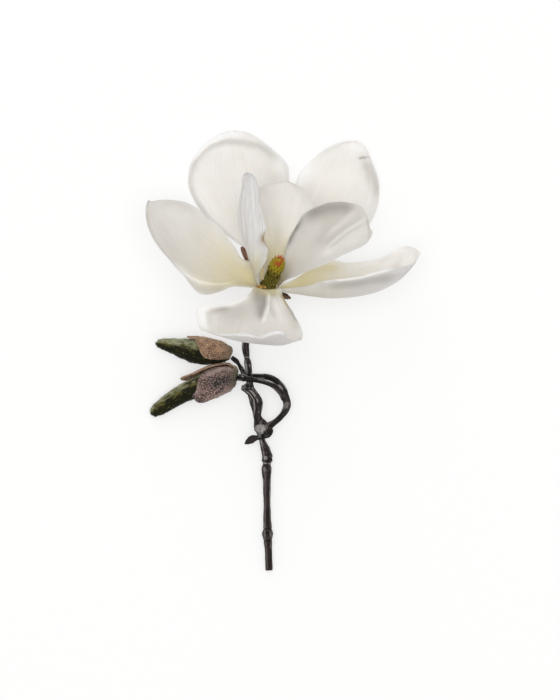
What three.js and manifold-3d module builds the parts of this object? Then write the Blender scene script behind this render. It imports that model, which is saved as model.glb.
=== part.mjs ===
// A cut magnolia branch in flower, lying on a table.
//
// A pale bloom of eight tepals opens at the upper end of a dark woody stem. Half way down, a node carries
// the scarred stub of last year's growth, a side twig that forks into two furry flower buds, and a spur
// that ends in a leaf bud. Millimetres, +Z up. The table top is z = 0, and the origin is on it, under the
// middle.

import * as THREE from 'three';
import { mergeVertices } from 'three/addons/utils/BufferGeometryUtils.js';
import Module from 'manifold-3d';

const wasm = await Module();
wasm.setup();

// ---------------------------------------------------------------- driving dimensions

// The heart is the point inside the bloom where all the tepals meet the stem. Every place below is given
// from it, with +Y to the crown of the bloom and +Z up, so the table lies at -HEART.z.
const HEART = new THREE.Vector3(-9.15, 36.35, 19.4);
const BLOOM_AXIS = new THREE.Vector3(0.27, 0.70, 0.66).normalize();

const TEPAL_THICKNESS = 0.9;
const SCALE_THICKNESS = 0.8;
const GAP = 0.4;                  // air between two pieces that touch on the real branch
const SCALE_GAP = 0.95;           // the same under a bud scale, whose flats lie across the bud's
const TABLE_SIZE = 600;           // block that stands for the table when an underside is worn flat

const TEPAL_STEPS = { across: 10, along: 12 };
const TIP_END = 0.992;            // the outline stops just short of the point, so the tip keeps a real edge
const WOOD_SIDES = 8;
const BUD_SIDES = 11;

// ---------------------------------------------------------------- materials

const material = (color, roughness) => new THREE.MeshStandardMaterial({ color, roughness, metalness: 0 });
const IVORY = material(0xe6e2dc, 0.6);
const BARK = material(0x4a3f3c, 0.8);
const BRACT_BROWN = material(0x7a5a3c, 0.9);
const BUD_OLIVE = material(0x5c6430, 0.85);
const SCALE_TAN = material(0x96704f, 0.9);
const SCALE_PURPLE = material(0x5a463f, 0.9);
const CARPEL_GREEN = material(0x8a8f3a, 0.7);
const STAMEN_OLIVE = material(0x5e4f22, 0.7);

// ---------------------------------------------------------------- small maths

const vec = (x, y, z) => new THREE.Vector3(x, y, z);
const smooth = (x) => THREE.MathUtils.smoothstep(x, 0, 1);
const onAxis = (along) => BLOOM_AXIS.clone().multiplyScalar(along);

// The quadratic that has the three given values at the base, the middle and the tip.
const through = ([base, middle, tip], v) =>
  base * (1 - v) * (1 - 2 * v) + 4 * middle * v * (1 - v) + tip * v * (2 * v - 1);

// ---------------------------------------------------------------- sheets: tepals, bracts and bud scales

// A closed sheet of the given thickness about the surface pointAt(s, v), with s from -1 to 1 across it and
// v from 0 at its foot to 1 at its tip. Both faces are split along the same diagonals.
function sheetSolid(pointAt, thickness, { across, along }, end = TIP_END) {
  const STEP = 1e-3;
  const EDGE_CROWDING = 1.3;      // steps are finer towards both edges, where the sheet rolls
  const TIP_CROWDING = 0.35;
  const row = across + 1;
  const count = row * (along + 1);
  const positions = [];
  const backs = [];
  for (let i = 0; i <= along; i++) {
    const q = i / along;
    const v = end * (q * (1 - TIP_CROWDING) + TIP_CROWDING * (1 - (1 - q) ** 2));
    for (let j = 0; j <= across; j++) {
      const even = 2 * j / across - 1;
      const s = Math.sign(even) * (1 - (1 - Math.abs(even)) ** EDGE_CROWDING);
      const middle = pointAt(s, v);
      const sideways = pointAt(s + STEP, v).sub(pointAt(s - STEP, v));
      const lengthways = pointAt(s, v + STEP).sub(pointAt(s, v - STEP));
      const half = sideways.cross(lengthways).setLength(thickness / 2);
      positions.push(...middle.clone().add(half));
      backs.push(...middle.clone().sub(half));
    }
  }
  positions.push(...backs);
  const index = [];
  for (let i = 0; i < along; i++) {
    for (let j = 0; j < across; j++) {
      const a = i * row + j;
      const [b, c, d] = [a + 1, a + row + 1, a + row];
      index.push(a, b, c, a, c, d);
      index.push(count + a, count + c, count + b, count + a, count + d, count + c);
    }
  }
  const foot = Array.from({ length: row }, (_, j) => j);
  const right = Array.from({ length: along }, (_, i) => (i + 1) * row + across);
  const tip = Array.from({ length: across }, (_, j) => along * row + across - 1 - j);
  const left = Array.from({ length: along }, (_, i) => (along - 1 - i) * row);
  const rim = [...foot, ...right, ...tip, ...left];
  for (let k = 0; k < rim.length - 1; k++) {
    const [p, q] = [rim[k], rim[k + 1]];
    index.push(q, p, count + p, q, count + p, count + q);
  }
  const geometry = new THREE.BufferGeometry();
  geometry.setAttribute('position', new THREE.Float32BufferAttribute(positions, 3));
  geometry.setIndex(index);
  return geometry;
}

// Half the width of a tepal: a narrow claw at the foot, a shoulder, and a blunt or pointed tip.
const halfWidth = (tepal, v) =>
  (tepal.claw * (1 - v) + tepal.width * smooth(v / tepal.shoulder))
  * Math.max(1 - Math.max(v, 0) ** tepal.blunt, 0) ** tepal.point;

// 1 at the middle, falling away smoothly over about the width on each side.
const bell = (x, middle, width) => Math.exp(-(((x - middle) / width) ** 2));

// A tepal follows a cubic spine. Its inner face looks along `face`, it is cupped across by `cup` radians
// from the middle to each edge, its rim turns back by `reflex` mm, and `lean` and `skew` favour one edge.
// `slant` pushes one side of its tip out and pulls the other back. Each of `edges` is [side, v, reach,
// share], a place where one edge stands out or in by that share of the width. Each of `rolls` is [side, v,
// reach, start, depth], where the margin beyond the start turns back by the depth, and side 0 is the tip.
const RIM = { across: 5, along: 9, start: 0.35 };   // the rim is narrow at the sides, narrower at the tip
function tepalPoint(tepal, s, v) {
  const spine = new THREE.CubicBezierCurve3(...tepal.spine.map((p) => vec(...p)));
  const inside = THREE.MathUtils.clamp(v, 0, 1);
  const tangent = spine.getTangent(inside);
  const [base, middle, tip] = tepal.face;
  const face = vec(...[0, 1, 2].map((k) => through([base[k], middle[k], tip[k]], v))).normalize();
  const side = tangent.clone().cross(face).normalize();
  const up = side.clone().cross(tangent);
  const width = halfWidth(tepal, v);
  const cup = Math.max(through(tepal.cup, v) * (1 + tepal.lean * s), 1e-3);
  let x = width * Math.sin(s * cup) / cup * (1 + tepal.skew * s * 4 * v * (1 - v));
  for (const [which, at, reach, share] of tepal.edges) {
    x *= 1 + share * bell(v, at, reach) * smooth(which * s);
  }
  const rim = 1 - (1 - Math.abs(s) ** RIM.across) * (1 - v ** RIM.along);
  let h = width * (1 - Math.cos(s * cup)) / cup - tepal.reflex * rim ** 2 * smooth(v / RIM.start);
  for (const [which, at, reach, start, depth] of tepal.rolls) {
    const margin = which === 0 ? v : which * s;
    h -= depth * bell(v, at, reach) * smooth((margin - start) / (1 - start) / 2) * 2;
  }
  return spine.getPoint(v)
    .addScaledVector(tangent, tepal.slant * s * smooth((v - 0.5) / 0.5))
    .addScaledVector(side, x)
    .addScaledVector(up, h);
}

const TEPAL_SHAPE = { claw: 2.6, point: 0.5, lean: 0, skew: 0, slant: 0, reflex: 0, edges: [], rolls: [] };
const TEPALS = {
  back_left: {
    spine: [[-2, 4, -2], [-6, 32, -22], [-17, 64, -24.5], [-20, 88.5, -12]],
    face: [[0.1, 0.5, 0.85], [0, 0.1, 1], [0, 0.1, 1]],
    width: 33, shoulder: 0.78, blunt: 6, cup: [0.9, 0.55, 0.4], reflex: 4,
    edges: [[1, 0.88, 0.16, -0.12], [-1, 0.45, 0.15, 0.08], [-1, 0.8, 0.12, 0.03], [-1, 0.16, 0.12, -0.35]],
    rolls: [[0, 1, 0.5, 0.9, 4.5], [-1, 0.7, 0.25, 0.82, 2.5], [1, 0.75, 0.25, 0.82, 2]],
  },
  back_right: {
    spine: [[3, 4, -3], [20, 26, -18], [48, 52, -24.6], [50, 85, -12]],
    face: [[0, 0.6, 0.8], [-0.1, 0.1, 1], [-0.1, 0.1, 1]],
    width: 28, shoulder: 0.68, blunt: 5, cup: [0.8, 0.5, 0.45], reflex: 3,
    edges: [[1, 0.93, 0.1, -0.18], [1, 0.65, 0.2, -0.04], [-1, 0.55, 0.2, -0.1]],
    rolls: [[1, 0.72, 0.22, 0.72, 5]],
  },
  inner_back: {
    spine: [[1, 7, -2], [7, 24, -4], [11, 43, -2], [12, 61.5, 6]],
    face: [[0, 0.4, 0.9], [-0.1, -0.1, 1], [-0.1, -0.3, 1]],
    width: 19, shoulder: 0.62, blunt: 7, cup: [0.8, 0.5, 0.4],
    edges: [[-1, 0.8, 0.35, 0.3]],
  },
  inner_left: {
    spine: [[-4.4, 2, 2.4], [-9.5, 14, 12], [-16.5, 40, 24], [-10, 65.5, 24]],
    face: [[1, -0.2, -0.25], [0.8, -0.1, -0.6], [0.8, -0.1, -0.6]],
    width: 12, shoulder: 0.62, blunt: 7, cup: [0.7, 1, 0.8],
    edges: [[1, 0.64, 0.14, 0.2], [1, 0.3, 0.12, -0.55], [1, 0.98, 0.07, 0.5], [-1, 0.98, 0.07, 0.3]],
    rolls: [[-1, 0.38, 0.08, 0.2, -4.5], [-1, 0.27, 0.08, 0.3, -3]],
  },
  inner_right: {
    spine: [[7.2, 0.9, 1.7], [16, 16, 12], [38, 33, 22], [60, 33, 26]],
    face: [[-0.76, 0.33, 0.56], [-0.6, 0.4, 0.6], [-0.5, 0.5, 0.7]],
    width: 20, shoulder: 0.5, blunt: 11, cup: [0.7, 0.6, 0.5], slant: 1.2,
    edges: [[-1, 0.5, 0.25, 0.15]],
    rolls: [[-1, 0.3, 0.2, 0.75, 2]],
  },
  right: {
    spine: [[6, -1.5, -1], [34, -2, -4], [68, -11, -2], [87, 15.5, 8]],
    face: [[-0.2, 0.7, 0.7], [-0.1, 0.85, 0.5], [-0.25, 0.95, 0.4]],
    claw: 3.8, width: 22, shoulder: 0.4, blunt: 11, cup: [1.7, 1.5, 1.4], lean: 0.25, slant: -5,
    edges: [[-1, 0.95, 0.08, 0.15], [1, 0.27, 0.05, -0.12], [1, 0.68, 0.2, -0.1], [-1, 0.6, 0.25, -0.25]],
  },
  front: {
    spine: [[0, -1.2, 6.2], [3, -20, 20], [-5, -42.5, 44], [-6, -27.5, 66]],
    face: [[0.2, 0.7, 0.6], [0.16, 0.7, 0.6], [-0.16, 0.9, 0.4]],
    claw: 9, width: 27, shoulder: 0.53, blunt: 12, cup: [0.6, 0.3, 0.4], skew: 0.28, slant: 2,
    edges: [[-1, 0.83, 0.15, -0.24], [1, 0.9, 0.1, -0.08]],
  },
  left: {
    spine: [[-5.3, 0.7, 0.2], [-23, 9, 1.3], [-46, 14, 2.6], [-67, 50, 10]],
    face: [[0.3, 0.45, 0.84], [0.3, 0.5, 0.8], [0.3, 0.4, 0.8]],
    width: 23, shoulder: 0.5, blunt: 5, point: 0.6, cup: [0.7, 0.6, 0.5], skew: -0.1, slant: -1.2,
    edges: [[1, 0.11, 0.07, 0.9], [1, 0.42, 0.08, -0.12], [1, 0.6, 0.1, 0.15], [-1, 0.18, 0.12, -0.2],
      [1, 0.92, 0.12, 0.35], [1, 0.78, 0.12, 0.12], [-1, 0.42, 0.1, 0.06], [-1, 0.66, 0.3, -0.12]],
    rolls: [[-1, 0.42, 0.2, 0.72, 3.5], [1, 0.12, 0.07, 0.15, -4.6]],
  },
};

// Two brown, furry bracts are left under the bloom from the bud that it opened out of.
const BRACT_STEPS = { across: 6, along: 8 };
const BRACTS = {
  left: {
    spine: [[-4, 0.5, -4.5], [-6.5, 7.7, -5.8], [-8.4, 14.6, -4.2], [-14.3, 23.6, -0.6]],
    face: [[0.6, -0.3, 0.7], [0.5, -0.3, 0.8], [0.4, -0.4, 0.8]],
    claw: 0.7, width: 2.2, shoulder: 1, blunt: 7, cup: [0.5, 0.6, 0.6],
  },
  right: {
    spine: [[2.5, -4, -4.5], [7, -4.2, -5.5], [11, -5.4, -5.5], [14.2, -5.8, -4.5]],
    face: [[-0.4, 0.6, 0.7], [-0.3, 0.6, 0.7], [-0.3, 0.6, 0.7]],
    claw: 1, width: 2.2, shoulder: 0.5, blunt: 3, cup: [0.5, 0.6, 0.6],
  },
};

const tepalSolid = (shape, steps = TEPAL_STEPS) => {
  const whole = { ...TEPAL_SHAPE, ...shape };
  return sheetSolid((s, v) => tepalPoint(whole, s, v), TEPAL_THICKNESS, steps);
};

// ---------------------------------------------------------------- limbs: wood, buds and the cone's parts

// A limb runs smoothly through stations of [x, y, z, radius].
function limb(stations) {
  const line = new THREE.CatmullRomCurve3(stations.map(([x, y, z]) => vec(x, y, z)));
  const spans = stations.length - 1;
  const radiusAt = (t) => {
    const place = THREE.MathUtils.clamp(t, 0, 1) * spans;
    const k = Math.min(Math.floor(place), spans - 1);
    return THREE.MathUtils.lerp(stations[k][3], stations[k + 1][3], smooth(place - k));
  };
  // A point beside the limb: `turn` is 0 above it and grows towards +Y on a limb that runs along -X.
  const beside = (t, turn, distance) => {
    const tangent = line.getTangent(THREE.MathUtils.clamp(t, 0, 1));
    const above = vec(0, 0, 1).addScaledVector(tangent, -tangent.z).normalize();
    const across = tangent.clone().cross(above);
    return line.getPoint(THREE.MathUtils.clamp(t, 0, 1))
      .addScaledVector(above, distance * Math.cos(turn))
      .addScaledVector(across, distance * Math.sin(turn));
  };
  return { line, spans, radiusAt, beside };
}

// The solid of a limb: rings of points round its line, with flat ends.
function limbSolid({ line, spans, radiusAt, beside }, sides = WOOD_SIDES, ringsPerSpan = 2) {
  const rings = spans * ringsPerSpan;
  const positions = [];
  for (let i = 0; i <= rings; i++) {
    const t = i / rings;
    for (let j = 0; j < sides; j++) positions.push(...beside(t, 2 * Math.PI * j / sides, radiusAt(t)));
  }
  positions.push(...line.getPoint(0), ...line.getPoint(1));
  const foot = (rings + 1) * sides;
  const index = [];
  for (let j = 0; j < sides; j++) {
    const next = (j + 1) % sides;
    for (let i = 0; i < rings; i++) {
      const [a, b] = [i * sides + j, i * sides + next];
      index.push(a, b, b + sides, a, b + sides, a + sides);
    }
    index.push(foot, next, j);
    index.push(foot + 1, rings * sides + j, rings * sides + next);
  }
  const geometry = new THREE.BufferGeometry();
  geometry.setAttribute('position', new THREE.Float32BufferAttribute(positions, 3));
  geometry.setIndex(index);
  return geometry;
}

// ---------------------------------------------------------------- joining and trimming

function toSolid(geometry) {
  const bare = geometry.clone();
  bare.deleteAttribute('normal');
  bare.deleteAttribute('uv');
  const merged = mergeVertices(bare, 1e-5);
  return new wasm.Manifold(new wasm.Mesh({
    numProp: 3,
    vertProperties: Float32Array.from(merged.attributes.position.array),
    triVerts: Uint32Array.from(merged.index.array),
  }));
}

function fromSolid(solid) {
  const mesh = solid.getMesh();
  const geometry = new THREE.BufferGeometry();
  geometry.setAttribute('position', new THREE.BufferAttribute(Float32Array.from(mesh.vertProperties), 3));
  geometry.setIndex(new THREE.BufferAttribute(Uint32Array.from(mesh.triVerts), 1));
  return geometry;
}

// Pieces that grow into each other become one solid.
const fuse = (geometries) => fromSolid(geometries.map(toSolid).reduce((whole, piece) => whole.add(piece)));

// What would sink into the table is taken off, which leaves the small flat spots that the branch rests on.
const table = toSolid(new THREE.BoxGeometry(TABLE_SIZE, TABLE_SIZE, TABLE_SIZE)
  .translate(0, 0, -HEART.z - TABLE_SIZE / 2));
const rested = (geometry) => fromSolid(toSolid(geometry).subtract(table));

// ---------------------------------------------------------------- wood

// The stem runs from its cut end, through two ringed nodes, the fork and the neck of the flower stalk, up to
// the bloom, where it turns along the bloom's axis.
const stem = limb([
  [1.7, -165, -16.9, 2.1], [1.3, -153, -16.9, 2.1], [0.9, -147.5, -16.8, 2.5], [0.8, -143.5, -16.7, 3.3],
  [0.8, -140.5, -16.7, 2.6], [0.6, -134, -16.6, 2.2], [0.5, -124, -16.5, 2.1], [0.4, -114, -16.3, 2.3],
  [0.2, -105.5, -16.1, 2.9], [0.4, -102.5, -16, 2.4], [0.5, -100.6, -16, 3.2], [0.6, -99.2, -15.9, 2.9],
  [0.6, -97.8, -15.9, 3.2], [-0.3, -94.6, -15.6, 2.7], [-2.3, -88.8, -15, 1.7], [-2.6, -85.8, -14.6, 2.6],
  [-2.5, -82.4, -14, 4.6], [-3.4, -79.6, -14.2, 4.0], [-5, -75.5, -14.8, 2.3], [-6.7, -70, -14.7, 1.9],
  [-9, -61, -14.1, 2.0], [-10, -51, -13.8, 2.0], [-10.7, -44, -14.3, 2.1], [-11.3, -40.4, -14.6, 1.6],
  [-11.8, -36.5, -14.9, 2.1], [-12, -31.5, -15, 2.1], [-10.6, -25, -14.8, 2.2], [-7.6, -17.4, -13, 2.5],
  [-3.9, -9.9, -9.2, 2.9], [...onAxis(-5 - GAP), 3.3],
]);

// Last year's shoot ends in a flared, hollowed scar above the stem.
const stub = limb([
  [-2.6, -82.6, -13.6, 2.6], [-4.6, -79, -12.7, 2.3], [-5, -74.5, -12, 2.1], [-4.8, -70, -11.2, 2.5],
  [-5, -66, -10.4, 2.9], [-7.2, -62, -9.6, 2.7], [-9.9, -59, -8.8, 3.0], [-11.5, -56.8, -7.7, 3.9],
]);
const scar = limb([[-11.1, -57, -6.6, 1.2], [-11.1, -56, -5.2, 1.9], [-11.1, -55, -3.8, 2.4]]);

// The side twig leaves the fork to the right, bends at a pale node and divides. One strand passes under the
// stem to the upper bud, the other over it to the lower bud.
const twig = limb([
  [-1, -82, -14.2, 2.9], [1.6, -80.6, -14.1, 2.3], [5.4, -78, -14.1, 1.7], [9.1, -74.4, -14, 1.7],
  [11.4, -71, -13.8, 2.0], [12.2, -67.6, -13.7, 2.3], [11.2, -63.5, -13.6, 2.3], [9.8, -60.4, -13.6, 2.2],
]);
const upperStrand = limb([
  [11.4, -64.5, -13.7, 2.1], [9.9, -59, -13.9, 2.1], [7.6, -55.6, -14.3, 1.9], [4.4, -53.1, -15.2, 1.8],
  [0.4, -51.7, -16.5, 1.7], [-4.4, -51.4, -17.4, 1.6], [-9.5, -51.2, -17.7, 1.3], [-12.6, -50.2, -17.5, 1.3],
  [-14.4, -47.4, -16.7, 1.3], [-16, -44.4, -15, 1.1], [-17.6, -42.4, -13.4, 1.5], [-20, -40.4, -11.9, 1.3],
]);
const lowerStrand = limb([
  [10.9, -64.5, -13.4, 2.1], [8.4, -60.4, -12.6, 1.9], [5, -57.3, -11.3, 1.6], [0.4, -55.1, -9.8, 1.4],
  [-4, -54, -8.8, 1.4], [-9.4, -53, -8.4, 1.5], [-13.4, -52.3, -9, 2], [-16, -51.7, -9.8, 2.1],
]);

// The spur grows from the right of the fork and bends across the front of the stem.
const spur = limb([
  [0, -81.6, -13.4, 2.2], [2.4, -83.2, -12.8, 1.8], [1.2, -85.6, -12, 1.6], [-2.4, -86.6, -11.4, 1.5],
  [-5.6, -87.3, -11.4, 1.5],
]);
const leafBud = limb([
  [-5.8 - GAP, -87.4, -11.4, 1.6], [-7.6, -87.8, -11.4, 2.2], [-9.1, -88.6, -11.5, 2.3],
  [-10.8, -89.7, -11.7, 1.6], [-12.5, -90.8, -12, 0.4],
]);

function branchSolid() {
  const wood = fuse([stem, stub, twig, upperStrand, lowerStrand, spur].map((piece) => limbSolid(piece)));
  return fromSolid(toSolid(wood).subtract(toSolid(limbSolid(scar))));
}

// ---------------------------------------------------------------- flower buds

const upperBud = limb([
  [-20.9, -40, -11.8, 2.0], [-23, -39.1, -11.6, 4.2], [-28.6, -38.1, -11.5, 6.2], [-35.8, -37.4, -11.5, 7.1],
  [-41.6, -36.7, -11.3, 6.9], [-47.5, -35.4, -11, 5.9], [-53.3, -34, -10.7, 4.6], [-59.2, -32.7, -10.5, 3.3],
  [-62.6, -32.2, -10.4, 2.3], [-64.4, -32, -10.3, 0.7],
]);
const lowerBud = limb([
  [-16.7, -51.6, -9.9, 2.4], [-18.4, -51.5, -10.2, 4.4], [-22.5, -51.8, -10.9, 6],
  [-30.5, -53.7, -11.9, 6.5], [-38.7, -57, -12.4, 6.1], [-44.6, -59.4, -13, 5.6],
  [-50.4, -62.4, -13.9, 5.2], [-56.3, -66, -14.8, 4.7],
  [-62.3, -70, -15.8, 4.1], [-65.8, -72.6, -16.4, 3], [-67.2, -73.6, -16.7, 0.8],
]);

// A bud scale wraps round its bud from `from` to `to`, centred `turn` round it and `spread` to each side. It
// narrows to a rounded end, stands `lift` off the bud there, and `loose` off it along one edge. `slant`
// makes one side of it longer.
const SCALE_STEPS = { across: 8, along: 8 };
function scaleSolid(bud, { from, to, turn, spread, lift, slant = 0, loose = () => 0 }) {
  const pointAt = (s, v) => {
    const t = from + (to - from) * v * (1 - slant * s);
    const reach = spread * Math.max(1 - v ** 6, 0) ** 0.5 * (0.85 + 0.15 * v);
    const distance = bud.radiusAt(t) + SCALE_GAP + SCALE_THICKNESS / 2 + lift * v ** 2 + loose(s, v);
    return bud.beside(t, turn + s * reach, distance);
  };
  return sheetSolid(pointAt, SCALE_THICKNESS, SCALE_STEPS, 0.96);
}
const SCALES = {
  upper: {
    bud: upperBud, finish: SCALE_TAN, from: 0.02, to: 0.49, turn: 1, spread: 1.6, lift: 0.4, slant: -0.16,
  },
  lower_front: {
    bud: lowerBud, finish: SCALE_PURPLE, from: 0.02, to: 0.445, turn: -0.35, spread: 1.5, lift: 0.5,
    slant: 0.09,
    loose: (s, v) => 2.2 * smooth(-s) * smooth(1.3 * v),
  },
  lower_back: {
    bud: lowerBud, finish: SCALE_TAN, from: 0.02, to: 0.53, turn: 1.8, spread: 0.85, lift: 0.8,
    loose: (s, v) => 2.2 * smooth(-s) * smooth(3 * v) * (1 - 0.6 * v),
  },
};

// ---------------------------------------------------------------- the cone in the heart of the bloom

// The receptacle fills the foot of the bloom and narrows into the cone, whose upper half is covered with
// spiralling carpels, each with a curved style. The stamens stand close round its lower half.
const CONE_FOOT = 3;              // along the bloom's axis from the heart
const CONE_TOP = 23.5;
const CONE_SIDES = 10;
const CONE_SHIFT = 1;             // the cone's lower half bows out to the right of its axis by this much
const CONE_LEAN = 1.6;            // and its top leans to the right of the bloom's axis by this much
const CARPELS = 52;
const CARPEL_ZONE = { foot: 12.5, top: 21 };
const GOLDEN_ANGLE = Math.PI * (3 - Math.sqrt(5));

const aboveAxis = vec(0, 0, 1).addScaledVector(BLOOM_AXIS, -BLOOM_AXIS.z).normalize();
const besideAxis = BLOOM_AXIS.clone().cross(aboveAxis);
const onCone = (along) => {
  const bow = CONE_SHIFT * smooth(along / CONE_FOOT) * (1 - along / CONE_TOP);
  return onAxis(along).add(vec(bow + CONE_LEAN * Math.max(along, 0) / CONE_TOP, 0, 0));
};
const roundCone = (along, turn, distance) => onCone(along)
  .addScaledVector(aboveAxis, distance * Math.cos(turn))
  .addScaledVector(besideAxis, distance * Math.sin(turn));

const CONE_PROFILE = [
  [-5, 3.5], [-3.4, 4], [0, 4], [3, 3.8], [4.5, 2.8], [9, 2.7], [13, 3.1], [17.5, 3.2], [21, 2.2], [22.8, 1],
];
const cone = limb(CONE_PROFILE.map(([along, radius]) => [...onCone(along), radius]));

function carpel(k) {
  const rise = k / (CARPELS - 1);
  const foot = THREE.MathUtils.lerp(CARPEL_ZONE.foot, CARPEL_ZONE.top, rise);
  const turn = k * GOLDEN_ANGLE;
  const body = 3.3 - 1.9 * rise ** 3;
  return limbSolid(limb([
    [...roundCone(foot - 1, turn, body - 1.4), 0.6],
    [...roundCone(foot + 0.6, turn, body), 0.95],
    [...roundCone(foot + 2.2, turn, body + 0.7), 0.6],
    [...roundCone(foot + 3.6, turn, body + 1.3), 0.35],
  ]), 4, 1);
}

function coneSolid() {
  const carpels = Array.from({ length: CARPELS }, (_, k) => carpel(k));
  return fuse([limbSolid(cone, CONE_SIDES, 1), ...carpels]);
}

const STAMENS = 18;
const COLLAR = { inner: 3.2, outer: 3.9, foot: 4.8, top: 6 };
const STAMEN_LENGTH = 7.6;

function stamensSolid() {
  const { inner, outer, foot, top } = COLLAR;
  const profile = [[inner, foot], [outer, foot], [outer, top], [inner, top], [inner, foot]];
  const collar = new THREE.LatheGeometry(profile.map(([x, y]) => new THREE.Vector2(x, y)), STAMENS);
  collar.applyQuaternion(new THREE.Quaternion().setFromUnitVectors(vec(0, 1, 0), BLOOM_AXIS));
  collar.translate(...onCone(foot).sub(onAxis(foot)));
  const stamens = Array.from({ length: STAMENS }, (_, k) => {
    const turn = 2 * Math.PI * k / STAMENS;
    const length = STAMEN_LENGTH * (0.9 + 0.1 * Math.sin(5 * k));
    return limbSolid(limb([
      [...roundCone(foot + 0.3, turn, 3.6), 0.45],
      [...roundCone(foot + 0.5 * length, turn, 3.85), 0.6],
      [...roundCone(foot + length, turn, 4.1), 0.35],
    ]), 4, 1);
  });
  return fuse([collar, ...stamens]);
}

// ---------------------------------------------------------------- assembly

const branch = new THREE.Group();
branch.position.copy(HEART);

function place(name, geometry, finish) {
  const mesh = new THREE.Mesh(rested(geometry), finish);
  mesh.name = name;
  branch.add(mesh);
}

place('branch', branchSolid(), BARK);
place('leaf_bud', limbSolid(leafBud), BUD_OLIVE);
place('flower_bud_upper', limbSolid(upperBud, BUD_SIDES), BUD_OLIVE);
place('flower_bud_lower', limbSolid(lowerBud, BUD_SIDES), BUD_OLIVE);
for (const [name, { bud, finish, ...shape }] of Object.entries(SCALES)) {
  place(`bud_scale_${name}`, scaleSolid(bud, shape), finish);
}
place('cone', coneSolid(), CARPEL_GREEN);
place('stamens', stamensSolid(), STAMEN_OLIVE);
for (const [name, shape] of Object.entries(TEPALS)) place(`tepal_${name}`, tepalSolid(shape), IVORY);
for (const [name, shape] of Object.entries(BRACTS)) {
  place(`bract_${name}`, tepalSolid(shape, BRACT_STEPS), BRACT_BROWN);
}

export default branch;
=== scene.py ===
"""A cut magnolia branch in flower, lying on a pale floor under soft studio light.

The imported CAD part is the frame. Every piece here is a finer form of one of its nodes, made from the same few
curves, with veins, fur, bark and ruffled edges added. Lengths are in millimetres from the heart of the bloom,
the point where all the tepals meet, until a mesh is made, which is in metres in the frame of the part.
"""

import itertools
import math

import bpy
import numpy as np
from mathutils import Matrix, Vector


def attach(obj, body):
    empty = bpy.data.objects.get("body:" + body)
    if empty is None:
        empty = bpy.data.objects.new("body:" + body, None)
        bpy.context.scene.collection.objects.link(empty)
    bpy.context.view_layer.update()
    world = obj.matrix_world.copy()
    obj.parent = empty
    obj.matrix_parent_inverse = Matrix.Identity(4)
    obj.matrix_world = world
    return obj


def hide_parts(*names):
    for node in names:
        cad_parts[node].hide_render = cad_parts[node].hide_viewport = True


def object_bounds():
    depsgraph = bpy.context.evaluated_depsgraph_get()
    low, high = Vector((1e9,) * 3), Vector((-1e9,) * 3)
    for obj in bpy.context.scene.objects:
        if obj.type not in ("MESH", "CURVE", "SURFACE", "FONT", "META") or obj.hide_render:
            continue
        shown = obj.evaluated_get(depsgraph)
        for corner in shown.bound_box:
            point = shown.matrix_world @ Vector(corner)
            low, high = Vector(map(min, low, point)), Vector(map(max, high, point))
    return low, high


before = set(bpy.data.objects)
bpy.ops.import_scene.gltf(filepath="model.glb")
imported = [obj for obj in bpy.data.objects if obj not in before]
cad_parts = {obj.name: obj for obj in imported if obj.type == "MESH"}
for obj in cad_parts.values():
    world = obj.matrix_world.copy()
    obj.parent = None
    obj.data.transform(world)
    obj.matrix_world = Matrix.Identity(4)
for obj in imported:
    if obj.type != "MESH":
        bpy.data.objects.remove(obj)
cad_low, cad_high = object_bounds()

MM = 0.001
HEART = np.array([-9.15, 36.35, 19.4])     # from the part's origin
BLOOM_AXIS = np.array([0.27, 0.70, 0.66])
BLOOM_AXIS = BLOOM_AXIS / np.linalg.norm(BLOOM_AXIS)
FLOOR = -HEART[2]                          # the surface that the branch lies on


# ------------------------------------------------------------------ small maths


def smooth(x):
    x = np.clip(x, 0, 1)
    return x * x * (3 - 2 * x)


def unit(vectors):
    return vectors / np.maximum(np.linalg.norm(vectors, axis=-1, keepdims=True), 1e-12)


def through(values, v):
    """The quadratic that has the three values at the base, the middle and the tip."""
    base, middle, tip = values
    return base * (1 - v) * (1 - 2 * v) + 4 * middle * v * (1 - v) + tip * v * (2 * v - 1)


def bell(x, middle, width):
    """1 at the middle, falling away smoothly over about the width on each side."""
    return np.exp(-(((x - middle) / width) ** 2))


LATTICE_SIZE = 32
LATTICE = np.random.default_rng(7).random((LATTICE_SIZE, LATTICE_SIZE, LATTICE_SIZE))


def noise(points, size=1.0):
    """Smooth noise from -1 to 1, in lumps about as wide as `size`."""
    points = np.asarray(points) / size
    cell = np.floor(points).astype(int)
    t = smooth(points - cell)
    total = 0
    for corner in itertools.product((0, 1), repeat=3):
        weight = np.prod(np.where(corner, t, 1 - t), axis=-1)
        i, j, k = np.moveaxis((cell + corner) % LATTICE_SIZE, -1, 0)
        total = total + weight * LATTICE[i, j, k]
    return 2 * total - 1


def stack(*parts):
    """Numbers or arrays of one shape, as one array of vectors."""
    return np.stack(np.broadcast_arrays(*parts), axis=-1)


def above_floor(points):
    """The points, with those that reach under the floor lifted onto it."""
    return np.concatenate([points[:, :2], np.maximum(points[:, 2:], FLOOR)], axis=1)


def from_above(points, x, y):
    """How far each point lies from the place x, y in the view from above."""
    return np.hypot(points[:, 0] - x, points[:, 1] - y)


# ------------------------------------------------------------------ meshes and pieces


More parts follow.
